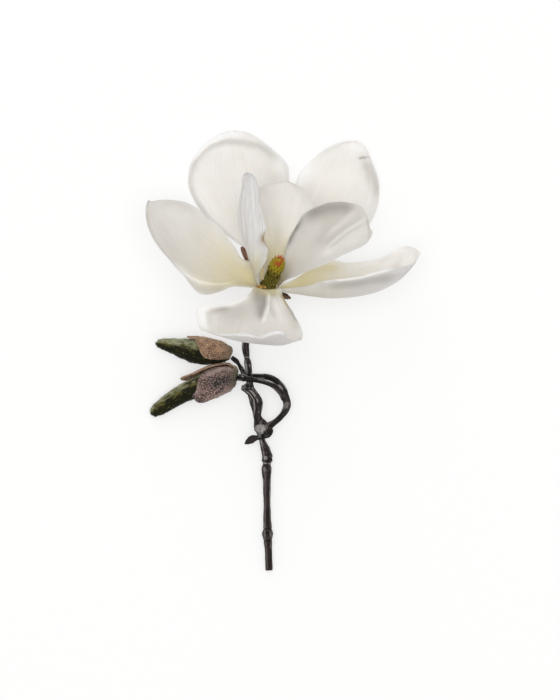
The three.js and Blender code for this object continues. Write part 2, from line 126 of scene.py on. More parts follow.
def piece(name, points, triangles, material, replaced, facts):
    """A mesh of the points, in millimetres from the heart, that rides on the branch's one body. Its facts are
    the values at its points that the material reads."""
    mesh = bpy.data.meshes.new(name)
    places = (np.asarray(points) + HEART) * MM
    mesh.from_pydata(places.tolist(), [], np.asarray(triangles).tolist())
    mesh.polygons.foreach_set("use_smooth", np.ones(len(mesh.polygons), dtype=bool))
    for key, values in facts.items():
        values = np.asarray(values, dtype=np.float32)
        if values.ndim == 1:
            mesh.attributes.new(key, "FLOAT", "POINT").data.foreach_set("value", values)
        else:
            mesh.attributes.new(key, "FLOAT_VECTOR", "POINT").data.foreach_set("vector", values.ravel())
    mesh.validate()
    mesh.materials.append(material)
    made = bpy.data.objects.new(name, mesh)
    bpy.context.scene.collection.objects.link(made)
    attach(made, "root")
    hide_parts(replaced)


def grid_triangles(rows, columns, closed=False):
    """Triangles of a grid of points, row by row, which wraps round if it is closed."""
    row, column = np.meshgrid(np.arange(rows - 1), np.arange(columns - (not closed)), indexing="ij")
    a = (row * columns + column).ravel()
    b = (row * columns + (column + 1) % columns).ravel()
    c, d = b + columns, a + columns
    return np.concatenate([np.stack([a, b, c], 1), np.stack([a, c, d], 1)])


def merged(parts):
    """Several (points, triangles) as one."""
    points, triangles, start = [], [], 0
    for p, t in parts:
        points.append(p)
        triangles.append(np.asarray(t) + start)
        start += len(p)
    return np.concatenate(points), np.concatenate(triangles)


# ------------------------------------------------------------------ sheets: tepals, bracts and bud scales

SLOPE_STEP = 1e-3       # in s and v, for the directions of a sheet's surface
TIP_CROWDING = 0.65     # how much closer the rows of a sheet lie towards its tip
EDGE_CROWDING = 1.3     # and its columns towards its edges, where 1 is even


def sheet(point_at, thickness_at, across, along, end=0.9995):
    """A thin closed sheet about the surface point_at(s, v), with s from -1 to 1 across it and v from 0 at its
    foot to 1 at its tip, and a rounded edge. Gives points, triangles and where each point is in the sheet."""
    q = np.linspace(0, 1, along + 1)
    rise = end * ((1 - TIP_CROWDING) * q + TIP_CROWDING * (1 - (1 - q) ** 2))
    even = np.linspace(-1, 1, across + 1)
    span = np.sign(even) * (1 - (1 - np.abs(even)) ** EDGE_CROWDING)
    v, s = np.meshgrid(rise, span, indexing="ij")
    middle = point_at(s, v)
    sideways = point_at(s + SLOPE_STEP, v) - point_at(s - SLOPE_STEP, v)
    lengthways = point_at(s, v + SLOPE_STEP) - point_at(s, np.maximum(v - SLOPE_STEP, 0))
    half = unit(np.cross(sideways, lengthways)) * thickness_at(s, v)[..., None] / 2
    rows, columns = s.shape
    count = rows * columns
    index = np.arange(count).reshape(rows, columns)
    rim = np.concatenate([index[0, :-1], index[:-1, -1], index[-1, :0:-1], index[:0:-1, 0]])
    inward = np.concatenate([index[1, :-1], index[:-1, -2], index[-2, :0:-1], index[:0:-1, 1]])
    flat, halves = middle.reshape(-1, 3), half.reshape(-1, 3)
    bulge = unit(flat[rim] - flat[inward]) * np.linalg.norm(halves[rim], axis=1, keepdims=True)
    points = np.concatenate([flat + halves, flat - halves, flat[rim] + bulge])
    front = grid_triangles(rows, columns)
    edge = 2 * count + np.arange(len(rim))
    following = np.roll(edge, -1)
    beyond = np.roll(rim, -1)
    band = [np.stack(corners, 1) for corners in (
        (beyond, rim, edge), (beyond, edge, following), (following, edge, rim + count),
        (following, rim + count, beyond + count))]
    triangles = np.concatenate([front, front[:, ::-1] + count, *band])
    facts = {
        "span": np.concatenate([s.ravel(), s.ravel(), s.ravel()[rim]]),
        "rise": np.concatenate([v.ravel(), v.ravel(), v.ravel()[rim]]),
        "outer": np.concatenate([np.zeros(count), np.ones(count), np.full(len(rim), 0.5)]),
    }
    return points, triangles, facts


# A tepal follows a cubic spine. Its inner face looks along `face` at the base, the middle and the tip.
# `claw` and `width` are half its width at the foot and in the blade, which is full from `shoulder` on and
# ends as `blunt` and `point` say. It is cupped across by `cup` radians from the middle to each edge, its
# rim turns back by `reflex` and waves by `ruffle`, and `lean` and `skew` favour one edge. `slant` pushes
# one side of its tip out and pulls the other back. Each of `edges` is (side, v, reach, share), a place
# where one edge stands out or in by that share of the width. Each of `rolls` is (side, v, reach, start,
# depth), where the margin beyond the start turns back by the depth. `green` is how far up its yellow-green
# foot reaches, `veined` how strongly its veins show, and its painted face light how much paler or darker its
# inner and its outer face are painted, as painted light and shade. Each of `marks` is a line in the flesh
# through points (s, v): how far it rises or, below 0, sinks, how much paler or darker it is painted on the
# inner and on the outer face, as a painted highlight or, below 0, painted shade, and how wide it is in mm.
# Its brown lines and `flush` are such lines too, brown and yellow-green: how strong, how wide.
TEPAL_SHAPE = dict(
    claw=2.6, point=0.5, lean=0, skew=0, slant=0, reflex=0, ruffle=0.7, green=0.35, veined=0.3, painted_face_light=(0, 0),
    edges=(), rolls=(), marks=(), brown_lines=(), flush=())
# A sunk vein is painted darker, as painted shade in its groove, and a raised one paler, as a painted highlight
# on its ridge.
SUNK_VEIN = (-0.35, -0.22, 0, 0.6)      # the start of a mark
RAISED_VEIN = (0.3, 0.3, 0, 0.6)
TEPALS = {
    "back_left": dict(
        painted_face_light=(-0.1, 0),
        spine=[(-2, 4, -2), (-6, 32, -22), (-17, 64, -24.5), (-20, 88.5, -12)],
        face=[(0.1, 0.5, 0.85), (0, 0.1, 1), (0, 0.1, 1)],
        width=33, shoulder=0.78, blunt=6, cup=(0.9, 0.55, 0.4), reflex=4, green=0.3,
        edges=[(1, 0.88, 0.16, -0.12), (-1, 0.45, 0.15, 0.08), (-1, 0.8, 0.12, 0.03),
               (-1, 0.16, 0.12, -0.35)],
        rolls=[(0, 1, 0.5, 0.9, 4.5), (-1, 0.7, 0.25, 0.82, 2.5), (1, 0.75, 0.25, 0.82, 2)],
        marks=[
            (-0.3, -0.28, 0, 2.4, (-0.93, 0.78), (-0.92, 0.87), (-0.87, 0.925), (-0.7, 0.95), (-0.25, 0.955),
             (0.3, 0.935), (0.76, 0.905), (0.86, 0.86), (0.9, 0.74)),
            (0, 1, 0.5, 2.0, (-1, 0.88), (-0.98, 0.96), (-0.6, 0.995), (0, 0.995), (0.6, 0.985)),
            (0, -0.16, 0, 2.5, (-0.95, 0.82), (-0.95, 0.72), (-0.97, 0.62), (-0.95, 0.5)),
            (0, 0.06, 0, 3, (0.84, 0.76), (0.82, 0.6)),
            (-0.5, -0.07, 0, 5, (0.78, 0.68), (0.7, 0.5))]),
    "back_right": dict(
        painted_face_light=(-0.08, 0),
        spine=[(3, 4, -3), (20, 26, -18), (48, 52, -24.6), (50, 85, -12)],
        face=[(0, 0.6, 0.8), (-0.1, 0.1, 1), (-0.1, 0.1, 1)],
        width=28, shoulder=0.68, blunt=5, cup=(0.8, 0.5, 0.45), reflex=3, green=0.25,
        edges=[(1, 0.93, 0.1, -0.18), (1, 0.65, 0.2, -0.04), (-1, 0.55, 0.2, -0.1)],
        rolls=[(1, 0.72, 0.22, 0.72, 5)],
        marks=[
            (0, -0.3, 0, 3.8, (0.5, 0.92), (0.8, 0.88), (0.93, 0.8), (0.95, 0.75)),
            (-0.8, -0.4, 0, 0.8, (0.3, 0.915), (0.65, 0.93), (0.95, 0.935)),
            (0.6, 0.12, 0, 3, (-0.2, 0.97), (0.5, 0.97), (0.9, 0.97)),
            (0, -0.08, 0, 2.5, (-0.94, 0.9), (-0.91, 0.95), (-0.8, 0.985)),
            (0, 0.08, 0, 3, (-0.98, 0.8), (-0.9, 0.7), (-0.8, 0.6))]),
    "inner_back": dict(
        painted_face_light=(-0.11, 0),
        spine=[(1, 7, -2), (7, 24, -4), (11, 43, -2), (12, 61.5, 6)],
        face=[(0, 0.4, 0.9), (-0.1, -0.1, 1), (-0.1, -0.3, 1)],
        width=19, shoulder=0.62, blunt=7, cup=(0.8, 0.5, 0.4), green=0.6,
        edges=[(-1, 0.8, 0.35, 0.3)],
        marks=[
            (0.6, 0.06, 0, 2, (-0.57, 0.55), (-0.5, 0.42), (-0.45, 0.3)),
            (-0.5, -0.1, 0, 3.5, (-0.1, 0.55), (0.1, 0.3)),
            (0, -0.22, 0, 2.2, (0.7, 0.62), (0.8, 0.5), (0.8, 0.35)),
            (0.4, 0.04, 0, 2, (0.5, 0.9), (0.35, 0.5))]),
    "inner_left": dict(
        painted_face_light=(0.0, 0.0), veined=1,
        spine=[(-4.4, 2, 2.4), (-9.5, 14, 12), (-16.5, 40, 24), (-10, 65.5, 24)],
        face=[(1, -0.2, -0.25), (0.8, -0.1, -0.6), (0.8, -0.1, -0.6)],
        width=12, shoulder=0.62, blunt=7, cup=(0.7, 1, 0.8), green=0.5,
        edges=[(1, 0.64, 0.14, 0.2), (1, 0.3, 0.12, -0.55), (1, 0.98, 0.07, 0.5), (-1, 0.98, 0.07, 0.3)],
        flush=[(0.45, 4.5, (-0.5, 0.1), (-0.5, 0.2), (-0.6, 0.34))],
        rolls=[(-1, 0.38, 0.08, 0.2, -4.5), (-1, 0.27, 0.08, 0.3, -3)],
        brown_lines=[
            (0.95, 2.0, (-1, 0.54), (-1, 0.49), (-0.97, 0.45)),
            (0.5, 0.5, (-1, 0.45), (-1, 0.38), (-1, 0.3))],
        marks=[
            (0, 0.4, 0, 4, (-0.2, 0.96), (0, 0.86), (0.1, 0.76)),
            (0, 0.6, 0, 2, (-0.3, 0.97), (0.29, 0.9), (0.5, 0.8), (0.6, 0.65)),
            (0, -0.2, 0, 4, (0, 0.05), (-0.2, 0.3)),
            (*SUNK_VEIN, (-0.5, 0.25), (-0.6, 0.6), (-0.55, 0.9)),
            (*SUNK_VEIN, (-0.2, 0.25), (-0.25, 0.6), (-0.2, 0.9)),
            (*SUNK_VEIN, (0.1, 0.3), (0.1, 0.6), (0.05, 0.92)),
            (*SUNK_VEIN, (0.4, 0.35), (0.4, 0.65), (0.3, 0.85)),
            (*RAISED_VEIN, (-0.05, 0.3), (-0.08, 0.6), (-0.05, 0.9)),
            (*RAISED_VEIN, (0.25, 0.35), (0.25, 0.6), (0.2, 0.9)),
            (0, -0.12, 0, 2.5, (-0.8, 0.9), (-0.8, 0.75), (-0.78, 0.6), (-0.7, 0.5)),
            (0, -0.12, 0, 3, (-0.6, 0.45), (-0.56, 0.36), (-0.5, 0.2)),
            (0, -0.08, 0, 6, (-0.2, 0.75), (-0.2, 0.5))]),
    "inner_right": dict(
        painted_face_light=(-0.27, -0.1),
        spine=[(7.2, 0.9, 1.7), (16, 16, 12), (38, 33, 22), (60, 33, 26)],
        face=[(-0.76, 0.33, 0.56), (-0.6, 0.4, 0.6), (-0.5, 0.5, 0.7)],
        width=20, shoulder=0.5, blunt=11, cup=(0.7, 0.6, 0.5), slant=1.2, green=0.2,
        flush=[(0.2, 4, (-0.4, 0.1), (-0.3, 0.25))],
        edges=[(-1, 0.5, 0.25, 0.15)],
        rolls=[(-1, 0.3, 0.2, 0.75, 2)],
        marks=[
            (0, -0.36, 0, 5, (-0.95, 0.5), (-0.93, 0.6), (-0.92, 0.7), (-0.9, 0.8), (-0.9, 0.91)),
            (0, -0.12, 0, 6, (-0.7, 0.6), (-0.5, 0.75), (-0.5, 0.88)),
            (-0.4, -0.12, 0, 2.2, (0.1, 0.58), (-0.2, 0.79), (-0.7, 0.95)),
            (-0.25, -0.1, 0, 1.4, (0.3, 0.62), (-0.02, 0.82), (-0.4, 0.96)),
            (0.25, 0.1, 0, 1.8, (0.15, 0.6), (-0.12, 0.8), (-0.55, 0.95)),
            (0.2, 0.1, 0, 1.8, (-0.15, 0.6), (-0.38, 0.76), (-0.8, 0.9)),
            (0.4, 0.08, 0, 6, (0.3, 0.92), (0.5, 0.7)),
            (0, -0.14, 0, 5, (-0.1, 0.5), (-0.2, 0.61), (-0.25, 0.7)),
            (0, 0.16, 0, 4, (0.44, 0.55), (0.44, 0.66)),
            (0, -0.14, 0, 0.8, (-0.6, 0.97), (-0.2, 0.985), (0.5, 0.985), (0.8, 0.97)),
            (0, -0.42, 0, 2.5, (-0.97, 0.28), (-0.97, 0.38), (-0.95, 0.46))]),
    "right": dict(
        painted_face_light=(0.1, -0.22),
        spine=[(6, -1.5, -1), (34, -2, -4), (68, -11, -2), (87, 15.5, 8)],
        face=[(-0.2, 0.7, 0.7), (-0.1, 0.85, 0.5), (-0.25, 0.95, 0.4)],
        claw=3.8, width=22, shoulder=0.4, blunt=11, cup=(1.7, 1.5, 1.4), lean=0.25, slant=-5, green=0.7,
        flush=[(0.5, 3.5, (-0.98, 0.1), (-0.95, 0.22), (-0.88, 0.42))],
        edges=[(-1, 0.95, 0.08, 0.15), (1, 0.27, 0.05, -0.12), (1, 0.68, 0.2, -0.1), (-1, 0.6, 0.25, -0.25)],
        marks=[
            (0, -0.12, 0, 3, (-0.79, 0.13), (-0.88, 0.21)),
            (0, 0.25, 0, 3, (-0.6, 0.3), (-0.7, 0.45), (-0.8, 0.58)),
            (0, -0.25, 0, 4, (-0.3, 0.72), (-0.6, 0.9)),
            (0, -0.2, 0, 3.5, (-0.9, 0.68), (-0.93, 0.8), (-0.8, 0.93)),
            (0, 0.7, 0.7, 1.0, (1, 0.3), (1, 0.45), (1, 0.6), (1, 0.7), (1, 0.85), (1, 0.95)),
            (0, 0, -0.26, 3.5, (0.9, 0.33), (0.9, 0.41), (0.86, 0.56), (0.86, 0.7), (0.8, 0.8), (0.65, 0.91)),
            (0.5, 0.06, 0, 1, (-0.6, 0.97), (-0.5, 0.85)),
            (-0.5, -0.06, 0, 1, (-0.3, 0.97), (-0.3, 0.85))]),
    "front": dict(
        painted_face_light=(-0.18, -0.28),
        spine=[(0, -1.2, 6.2), (3, -20, 20), (-5, -42.5, 44), (-6, -27.5, 66)],
        face=[(0.2, 0.7, 0.6), (0.16, 0.7, 0.6), (-0.16, 0.9, 0.4)],
        claw=9, width=27, shoulder=0.53, blunt=12, cup=(0.6, 0.3, 0.4), skew=0.28, slant=2, green=0.1,
        edges=[(-1, 0.83, 0.15, -0.24), (1, 0.9, 0.1, -0.08)],
        brown_lines=[(0.9, 1.3, (-0.95, 0.05), (-1, 0.18)), (0.25, 3, (0.7, 0.02), (0.6, 0.1))],
        marks=[
            (0, 0.45, 0.4, 2.2, (0.97, 0.1), (0.97, 0.25), (0.97, 0.39), (0.95, 0.5), (0.93, 0.66),
             (0.9, 0.75)),
            (0, -0.18, 0, 8, (0.5, 0.2), (0.7, 0.4), (0.6, 0.55)),
            (-1.4, 0, 0, 3, (-0.5, 0.86), (-0.5, 0.93), (-0.5, 1)),
            (-0.7, 0, 0, 3, (0.2, 0.86), (0.2, 1)),
            (0, -0.1, 0, 2, (0.84, 0.3), (0.86, 0.5), (0.84, 0.65)),
            (-1.2, -0.18, 0, 2.2, (0.02, 0.02), (0.08, 0.15), (0.14, 0.32)),
            (0, -0.32, 0, 5, (0.55, 0.02), (0.5, 0.1), (0.42, 0.18)),
            (0, -0.16, 0, 3, (0.25, 0.14), (0.22, 0.32)),
            (0, -0.14, 0, 3, (0.97, 0.5), (0.9, 0.4), (0.85, 0.3)),
            (0, -0.2, 0, 3, (-0.3, 0.02), (-0.5, 0.1)),
            (0, -0.25, 0, 0.8, (-0.98, 0.12), (-0.98, 0.3), (-0.98, 0.55), (-0.98, 0.8)),
            (1.2, 0.25, 0, 1.0, (-0.16, 0.03), (-0.06, 0.16), (0.05, 0.36)),
            (-0.6, -0.14, 0, 1.5, (-0.1, 0.1), (-0.2, 0.2), (-0.25, 0.27)),
            (0.5, 0.05, 0, 1.2, (-0.4, 0.05), (-0.5, 0.3)),
            (0, -0.18, 0, 3, (-0.95, 0.15), (-0.9, 0.28), (-0.88, 0.4)),
            (0, 0.5, 0.6, 0.9, (-0.98, 0.9), (-0.98, 0.95), (-0.97, 0.98), (-0.5, 0.995), (0, 0.998),
             (0.5, 0.995), (0.97, 0.98), (0.98, 0.95), (0.98, 0.9)),
            (0, 0, -0.14, 12, (-0.5, 0.8), (0.5, 0.8))]),
    "left": dict(
        painted_face_light=(-0.26, -0.1),
        spine=[(-5.3, 0.7, 0.2), (-23, 9, 1.3), (-46, 14, 2.6), (-67, 50, 10)],
        face=[(0.3, 0.45, 0.84), (0.3, 0.5, 0.8), (0.3, 0.4, 0.8)],
        width=23, shoulder=0.5, blunt=5, point=0.6, cup=(0.7, 0.6, 0.5), skew=-0.1, slant=-1.2, green=0.7,
        brown_lines=[(0.4, 0.7, (1, 0.24), (1, 0.12), (1, 0.05))],
        flush=[(0.25, 4, (0.6, 0.04), (0.6, 0.13))],
        edges=[(1, 0.11, 0.07, 0.9), (1, 0.42, 0.08, -0.12), (1, 0.6, 0.1, 0.15), (-1, 0.18, 0.12, -0.2),
               (1, 0.92, 0.12, 0.35), (1, 0.78, 0.12, 0.12), (-1, 0.42, 0.1, 0.06), (-1, 0.66, 0.3, -0.12)],
        rolls=[(-1, 0.42, 0.2, 0.72, 3.5), (1, 0.12, 0.07, 0.15, -4.6)],
        marks=[
            (0, -0.1, 0, 1.6, (-0.97, 0.97), (-0.93, 0.9), (-0.93, 0.79), (-0.95, 0.66)),
            (0, -0.08, 0, 2.5, (0.39, 0.97), (0.85, 0.93), (0.9, 0.85), (0.9, 0.74)),
            (0.6, 0.18, 0, 1.3, (-0.94, 0.62), (-0.86, 0.55), (-0.7, 0.46), (-0.62, 0.38), (-0.56, 0.27),
             (-0.3, 0.2)),
            (0, -0.16, 0, 3, (-0.98, 0.6), (-0.92, 0.46), (-0.9, 0.38), (-0.95, 0.25)),
            (0, 0.14, 0, 4, (-0.85, 0.66), (-0.72, 0.5), (-0.66, 0.4)),
            (0, -0.06, 0, 9, (-0.4, 0.85), (-0.3, 0.65))]),
}


def near_line(points, line, reach):
    """1 on the line through some places, falling to 0 beside it and at its ends."""
    away = np.full(points.shape[:-1], np.inf)
    place = np.zeros(points.shape[:-1])
    past = 0
    for a, b in zip(line[:-1], line[1:]):
        size = np.linalg.norm(b - a)
        along = np.clip(((points - a) * (b - a)).sum(-1) / size**2, 0, 1)
        distance = np.linalg.norm(points - a - along[..., None] * (b - a), axis=-1)
        place = np.where(distance < away, past + along * size, place)
        away = np.minimum(away, distance)
        past += size
    fade = 2 * reach + 0.1 * past
    return bell(away, 0, reach) * smooth((place + reach) / fade) * smooth((past - place + reach) / fade)


def spine_place(corners, u):
    """A point of the cubic with these four corners."""
    w = 1 - u
    return w**3 * corners[0] + 3 * w * w * u * corners[1] + 3 * w * u * u * corners[2] + u**3 * corners[3]


def spine_direction(corners, u):
    w = 1 - u
    first, second, third = np.diff(corners, axis=0)
    return unit(w * w * first + 2 * w * u * second + u * u * third)


RIM = dict(across=5, along=9, start=0.35)   # the rim is narrow at the sides, narrower at the tip
RUFFLES = 2.3                # waves of the rim along a tepal
RUFFLE_START = 0.3           # v where they set in
SLANT_START = 0.5
FIRM_FOOT = 0.2              # the edges run smooth below this v
LEAST_CUP = 1e-3             # keeps the cup's formula from dividing by 0
OUTLINE_WANDER = dict(depth=0.5, along=14, across=3)
MARGIN_WANDER = dict(depth=0.7, along=7, across=2.5, offset=3)
FLESH_WANDER = dict(depth=0.35, size=9)
EDGE_THICKNESS = 0.3
BODY_THICKNESS = 0.55
FOOT_THICKNESS = 0.15


def tepal_section(shape, s, v):
    """How far a point of a tepal lies beside its spine and how high above it, but for its marks."""
    claw = shape["claw"] * (1 - v)
    blade = shape["width"] * smooth(v / shape["shoulder"])
    width = (claw + blade) * np.maximum(1 - np.maximum(v, 0) ** shape["blunt"], 0) ** shape["point"]
    cup = np.maximum(through(shape["cup"], v) * (1 + shape["lean"] * s), LEAST_CUP)
    x = width * np.sin(s * cup) / cup * (1 + shape["skew"] * s * 4 * v * (1 - v))
    outline = stack(OUTLINE_WANDER["along"] * v, OUTLINE_WANDER["across"] * np.sign(s), shape["width"])
    x = x + OUTLINE_WANDER["depth"] * noise(outline) * s**5 * smooth(v / FIRM_FOOT)
    for which, at, reach, share in shape["edges"]:
        x = x * (1 + share * bell(v, at, reach) * smooth(which * s))
    rim = 1 - (1 - np.abs(s) ** RIM["across"]) * (1 - v ** RIM["along"])
    h = width * (1 - np.cos(s * cup)) / cup - shape["reflex"] * rim**2 * smooth(v / RIM["start"])
    wave = np.sin(2 * np.pi * (RUFFLES * v + 0.25 * s))
    h = h + shape["ruffle"] * wave * np.abs(s) ** 3 * smooth(v / RUFFLE_START)
    margin = stack(MARGIN_WANDER["along"] * v, MARGIN_WANDER["across"] * s,
                   MARGIN_WANDER["offset"] + shape["width"])
    h = h + MARGIN_WANDER["depth"] * noise(margin) * np.abs(s) ** 4 * smooth(v / FIRM_FOOT)
    for which, at, reach, start, depth in shape["rolls"]:
        beyond = np.maximum(v, 0) if which == 0 else which * s
        h = h - 2 * depth * bell(v, at, reach) * smooth((beyond - start) / (1 - start) / 2)
    return x, h


def tepal_surface(shape):
    """The middle surface of a tepal, how much paler or darker its flesh is painted as painted highlight and
    shade, and how much of a colour is in it, as functions of s and v."""
    corners = np.array(shape["spine"], float)

    def bare(s, v):
        u = v[..., None]
        tangent = spine_direction(corners, np.clip(u, 0, 1))
        face = unit(stack(*(through(values, v) for values in zip(*shape["face"]))))
        side = unit(np.cross(tangent, face))
        up = np.cross(side, tangent)
        x, h = tepal_section(shape, s, v)
        forward = shape["slant"] * s * smooth((v - SLANT_START) / (1 - SLANT_START))
        place = spine_place(corners, u) + tangent * forward[..., None]
        place = place + side * x[..., None] + up * h[..., None]
        flesh = FLESH_WANDER["depth"] * noise(place, FLESH_WANDER["size"]) * smooth(v / RUFFLE_START)
        return place + up * flesh[..., None], up

    def line_through(stops):
        return bare(*np.array(stops, float).T)[0]

    lines = [line_through(mark[4:]) for mark in shape["marks"]]

    def point_at(s, v):
        place, up = bare(s, v)
        rises = (mark[0] * near_line(place, line, mark[3]) for mark, line in zip(shape["marks"], lines))
        return place + up * sum(rises, 0 * v)[..., None]

    def painted_light_at(s, v, outer):
        # Painted light: each point is painted paler, a painted highlight, or darker, painted shade, by the tone
        # of its face and by the marks near it.
        place, _ = bare(s, v)
        painted_face_light = shape["painted_face_light"][0] * (1 - outer) + shape["painted_face_light"][1] * outer
        painted_lights = ((mark[1] * (1 - outer) + mark[2] * outer) * near_line(place, line, mark[3])
                 for mark, line in zip(shape["marks"], lines))
        return sum(painted_lights, painted_face_light)

    def amount_at(spots, s, v):
        place, _ = bare(s, v)
        amounts = (amount * near_line(place, line_through(stops), reach) for amount, reach, *stops in spots)
        return sum(amounts, 0 * v)

    return point_at, painted_light_at, amount_at


def tepal_thickness(s, v):
    """Fleshy at the foot and along the middle, thin at the edges."""
    body = (1 - np.abs(s) ** 2.5) * (1 - v**4)
    return EDGE_THICKNESS + BODY_THICKNESS * body + FOOT_THICKNESS * (1 - v) ** 2


def make_tepals(material):
    for name, shape in TEPALS.items():
        shape = {**TEPAL_SHAPE, **shape}
        point_at, painted_light_at, amount_at = tepal_surface(shape)
        points, triangles, facts = sheet(point_at, tepal_thickness, across=100, along=130)
        points = above_floor(points)
        span, rise = facts["span"], facts["rise"]
        facts["painted_light_and_tint"] = painted_light_at(span, rise, facts["outer"])
        for key in ("brown_lines", "flush"):
            facts[key] = amount_at(shape[key], span, rise)
        for key in ("green", "veined", "width"):
            facts[key] = np.full(len(points), shape[key])
        piece(f"tepal_{name}_petal", points, triangles, material, f"tepal_{name}", facts)


BRACTS = {
    "left": dict(
        spine=[(-4, 0.5, -4.5), (-6.5, 7.7, -5.8), (-8.4, 14.6, -4.2), (-14.3, 23.6, -0.6)],
        face=[(0.6, -0.3, 0.7), (0.5, -0.3, 0.8), (0.4, -0.4, 0.8)],
        claw=0.7, width=2.2, shoulder=1, blunt=7, cup=(0.5, 0.6, 0.6)),
    "right": dict(
        spine=[(2.5, -4, -4.5), (7, -4.2, -5.5), (11, -5.4, -5.5), (14.2, -5.8, -4.5)],
        face=[(-0.4, 0.6, 0.7), (-0.3, 0.6, 0.7), (-0.3, 0.6, 0.7)],
        claw=1, width=2.2, shoulder=0.5, blunt=3, cup=(0.5, 0.6, 0.6)),
}


# ------------------------------------------------------------------ limbs: wood, buds and the cone's parts


class Limb:
    """A smooth limb through stations of x, y, z and radius: a centripetal Catmull-Rom line."""

    def __init__(self, *stations):
        self.stations = np.array(stations, float)
        self.spans = len(stations) - 1

    def line(self, t):
        points = self.stations[:, :3]
        ends = np.concatenate([[2 * points[0] - points[1]], points, [2 * points[-1] - points[-2]]])
        place = np.clip(np.asarray(t, float), 0, 1) * self.spans
        k = np.minimum(np.floor(place).astype(int), self.spans - 1)
        w = (place - k)[..., None]
        p0, p1, p2, p3 = (ends[k + i] for i in range(4))
        d0, d1, d2 = (np.linalg.norm(b - a, axis=-1, keepdims=True) ** 0.5
                      for a, b in ((p0, p1), (p1, p2), (p2, p3)))
        m1 = ((p1 - p0) / d0 - (p2 - p0) / (d0 + d1) + (p2 - p1) / d1) * d1
        m2 = ((p2 - p1) / d1 - (p3 - p1) / (d1 + d2) + (p3 - p2) / d2) * d1
        return p1 + m1 * w + (-3 * p1 + 3 * p2 - 2 * m1 - m2) * w**2 + (2 * p1 - 2 * p2 + m1 + m2) * w**3

    def tangent(self, t):
        step = 1e-4
        t = np.asarray(t, float)
        return unit(self.line(np.minimum(t + step, 1)) - self.line(np.maximum(t - step, 0)))

    def radius(self, t):
        place = np.clip(np.asarray(t, float), 0, 1) * self.spans
        k = np.minimum(np.floor(place).astype(int), self.spans - 1)
        low, high = self.stations[k, 3], self.stations[k + 1, 3]
        return low + (high - low) * smooth(place - k)

    def beside(self, t, turn, distance):
        """A point beside the limb: turn is 0 above it and grows towards +Y on a limb that runs along -X."""
        t, turn, distance = np.broadcast_arrays(*(np.asarray(x, float) for x in (t, turn, distance)))
        tangent = self.tangent(t)
        above = unit(np.array([0, 0, 1.0]) - tangent * tangent[..., 2:])
        across = np.cross(tangent, above)
        return (self.line(t) + above * (distance * np.cos(turn))[..., None]
                + across * (distance * np.sin(turn))[..., None])

    def length(self):
        points = self.line(np.linspace(0, 1, 20 * self.spans + 1))
        return np.linalg.norm(np.diff(points, axis=0), axis=1).sum()

    def unrolled(self, t, turn, girth):
        """Even places for a pattern on the limb's skin, with no seam where the turn comes round."""
        return stack(t * self.length(), girth * np.cos(turn), girth * np.sin(turn))

    def skin(self, rings_per_span, sides, extra=None):
        """A closed tube round the line. extra(t, turn) is added to its radius. Also gives t and the turn."""
        rings = self.spans * rings_per_span + 1
        t, turn = np.meshgrid(np.linspace(0, 1, rings), 2 * np.pi * np.arange(sides) / sides, indexing="ij")
        distance = self.radius(t) + (extra(t, turn) if extra else 0)
        points = np.concatenate([self.beside(t, turn, distance).reshape(-1, 3), self.line([0, 1])])
        count = rings * sides
        side = np.arange(sides)
        following = (side + 1) % sides
        caps = [np.stack([np.full(sides, count), following, side], 1),
                np.stack([np.full(sides, count + 1), count - sides + side, count - sides + following], 1)]
        triangles = np.concatenate([grid_triangles(rings, sides, closed=True), *caps])
        return points, triangles, np.append(t.ravel(), [0, 1]), np.append(turn.ravel(), [0, 0])


HAIR_RADIUS = 0.045
HAIR_LENGTHS = (0.5, 1.2)        # the shortest and the longest, as shares of the length asked for
HAIR_RISE = 0.55                 # a hair's way is so much of the skin's normal,
HAIR_LEAN = 0.8                  # so much of the way that all of them lean,
HAIR_STRAY = 0.35                # and so much of a way of its own


def fuzz(points, triangles, lean, count, length, seed):
    """Short tapered hairs that stand on the skin and lean one way."""
    chance = np.random.default_rng(seed)
    a, b, c = (points[triangles[:, k]] for k in range(3))
    cross = np.cross(b - a, c - a)
    size = np.linalg.norm(cross, axis=1)
    chosen = chance.choice(len(triangles), count, p=size / size.sum())
    u, w = chance.random((2, count, 1))
    u, w = np.where(u + w > 1, 1 - u, u), np.where(u + w > 1, 1 - w, w)
    foot = a[chosen] + u * (b - a)[chosen] + w * (c - a)[chosen]
    normal = cross[chosen] / size[chosen, None]
    stray = HAIR_STRAY * chance.normal(size=(count, 3))
    reach = unit(HAIR_RISE * normal + HAIR_LEAN * np.asarray(lean) + stray)
    tip = foot + reach * length * chance.uniform(*HAIR_LENGTHS, (count, 1))
    beside = unit(np.cross(normal, reach)) * HAIR_RADIUS
    above = np.cross(reach, beside)
    corners = [foot + beside, foot - beside / 2 + above, foot - beside / 2 - above, tip]
    hairs = np.stack(corners, axis=1).reshape(-1, 3)
    start = 4 * np.arange(count)[:, None]
    blades = np.concatenate([start + side for side in ((0, 1, 3), (1, 2, 3), (2, 0, 3))])
    return hairs, blades, np.repeat(triangles[chosen, 0], 4)


def with_fuzz(points, triangles, facts, where, lean, count, length, seed):
    """The skin with hairs on some of its triangles. `hair` tells one from the other."""
    hairs, blades, roots = fuzz(points, triangles[where], lean, count, length, seed)
    extra = len(hairs)
    grown = {key: np.concatenate([values, values[roots]]) for key, values in facts.items()}
    grown["hair"] = np.concatenate([np.zeros(len(points)), np.ones(extra)])
    points = above_floor(np.concatenate([points, hairs]))
    return points, np.concatenate([triangles, blades + len(points) - extra]), grown


# ------------------------------------------------------------------ wood

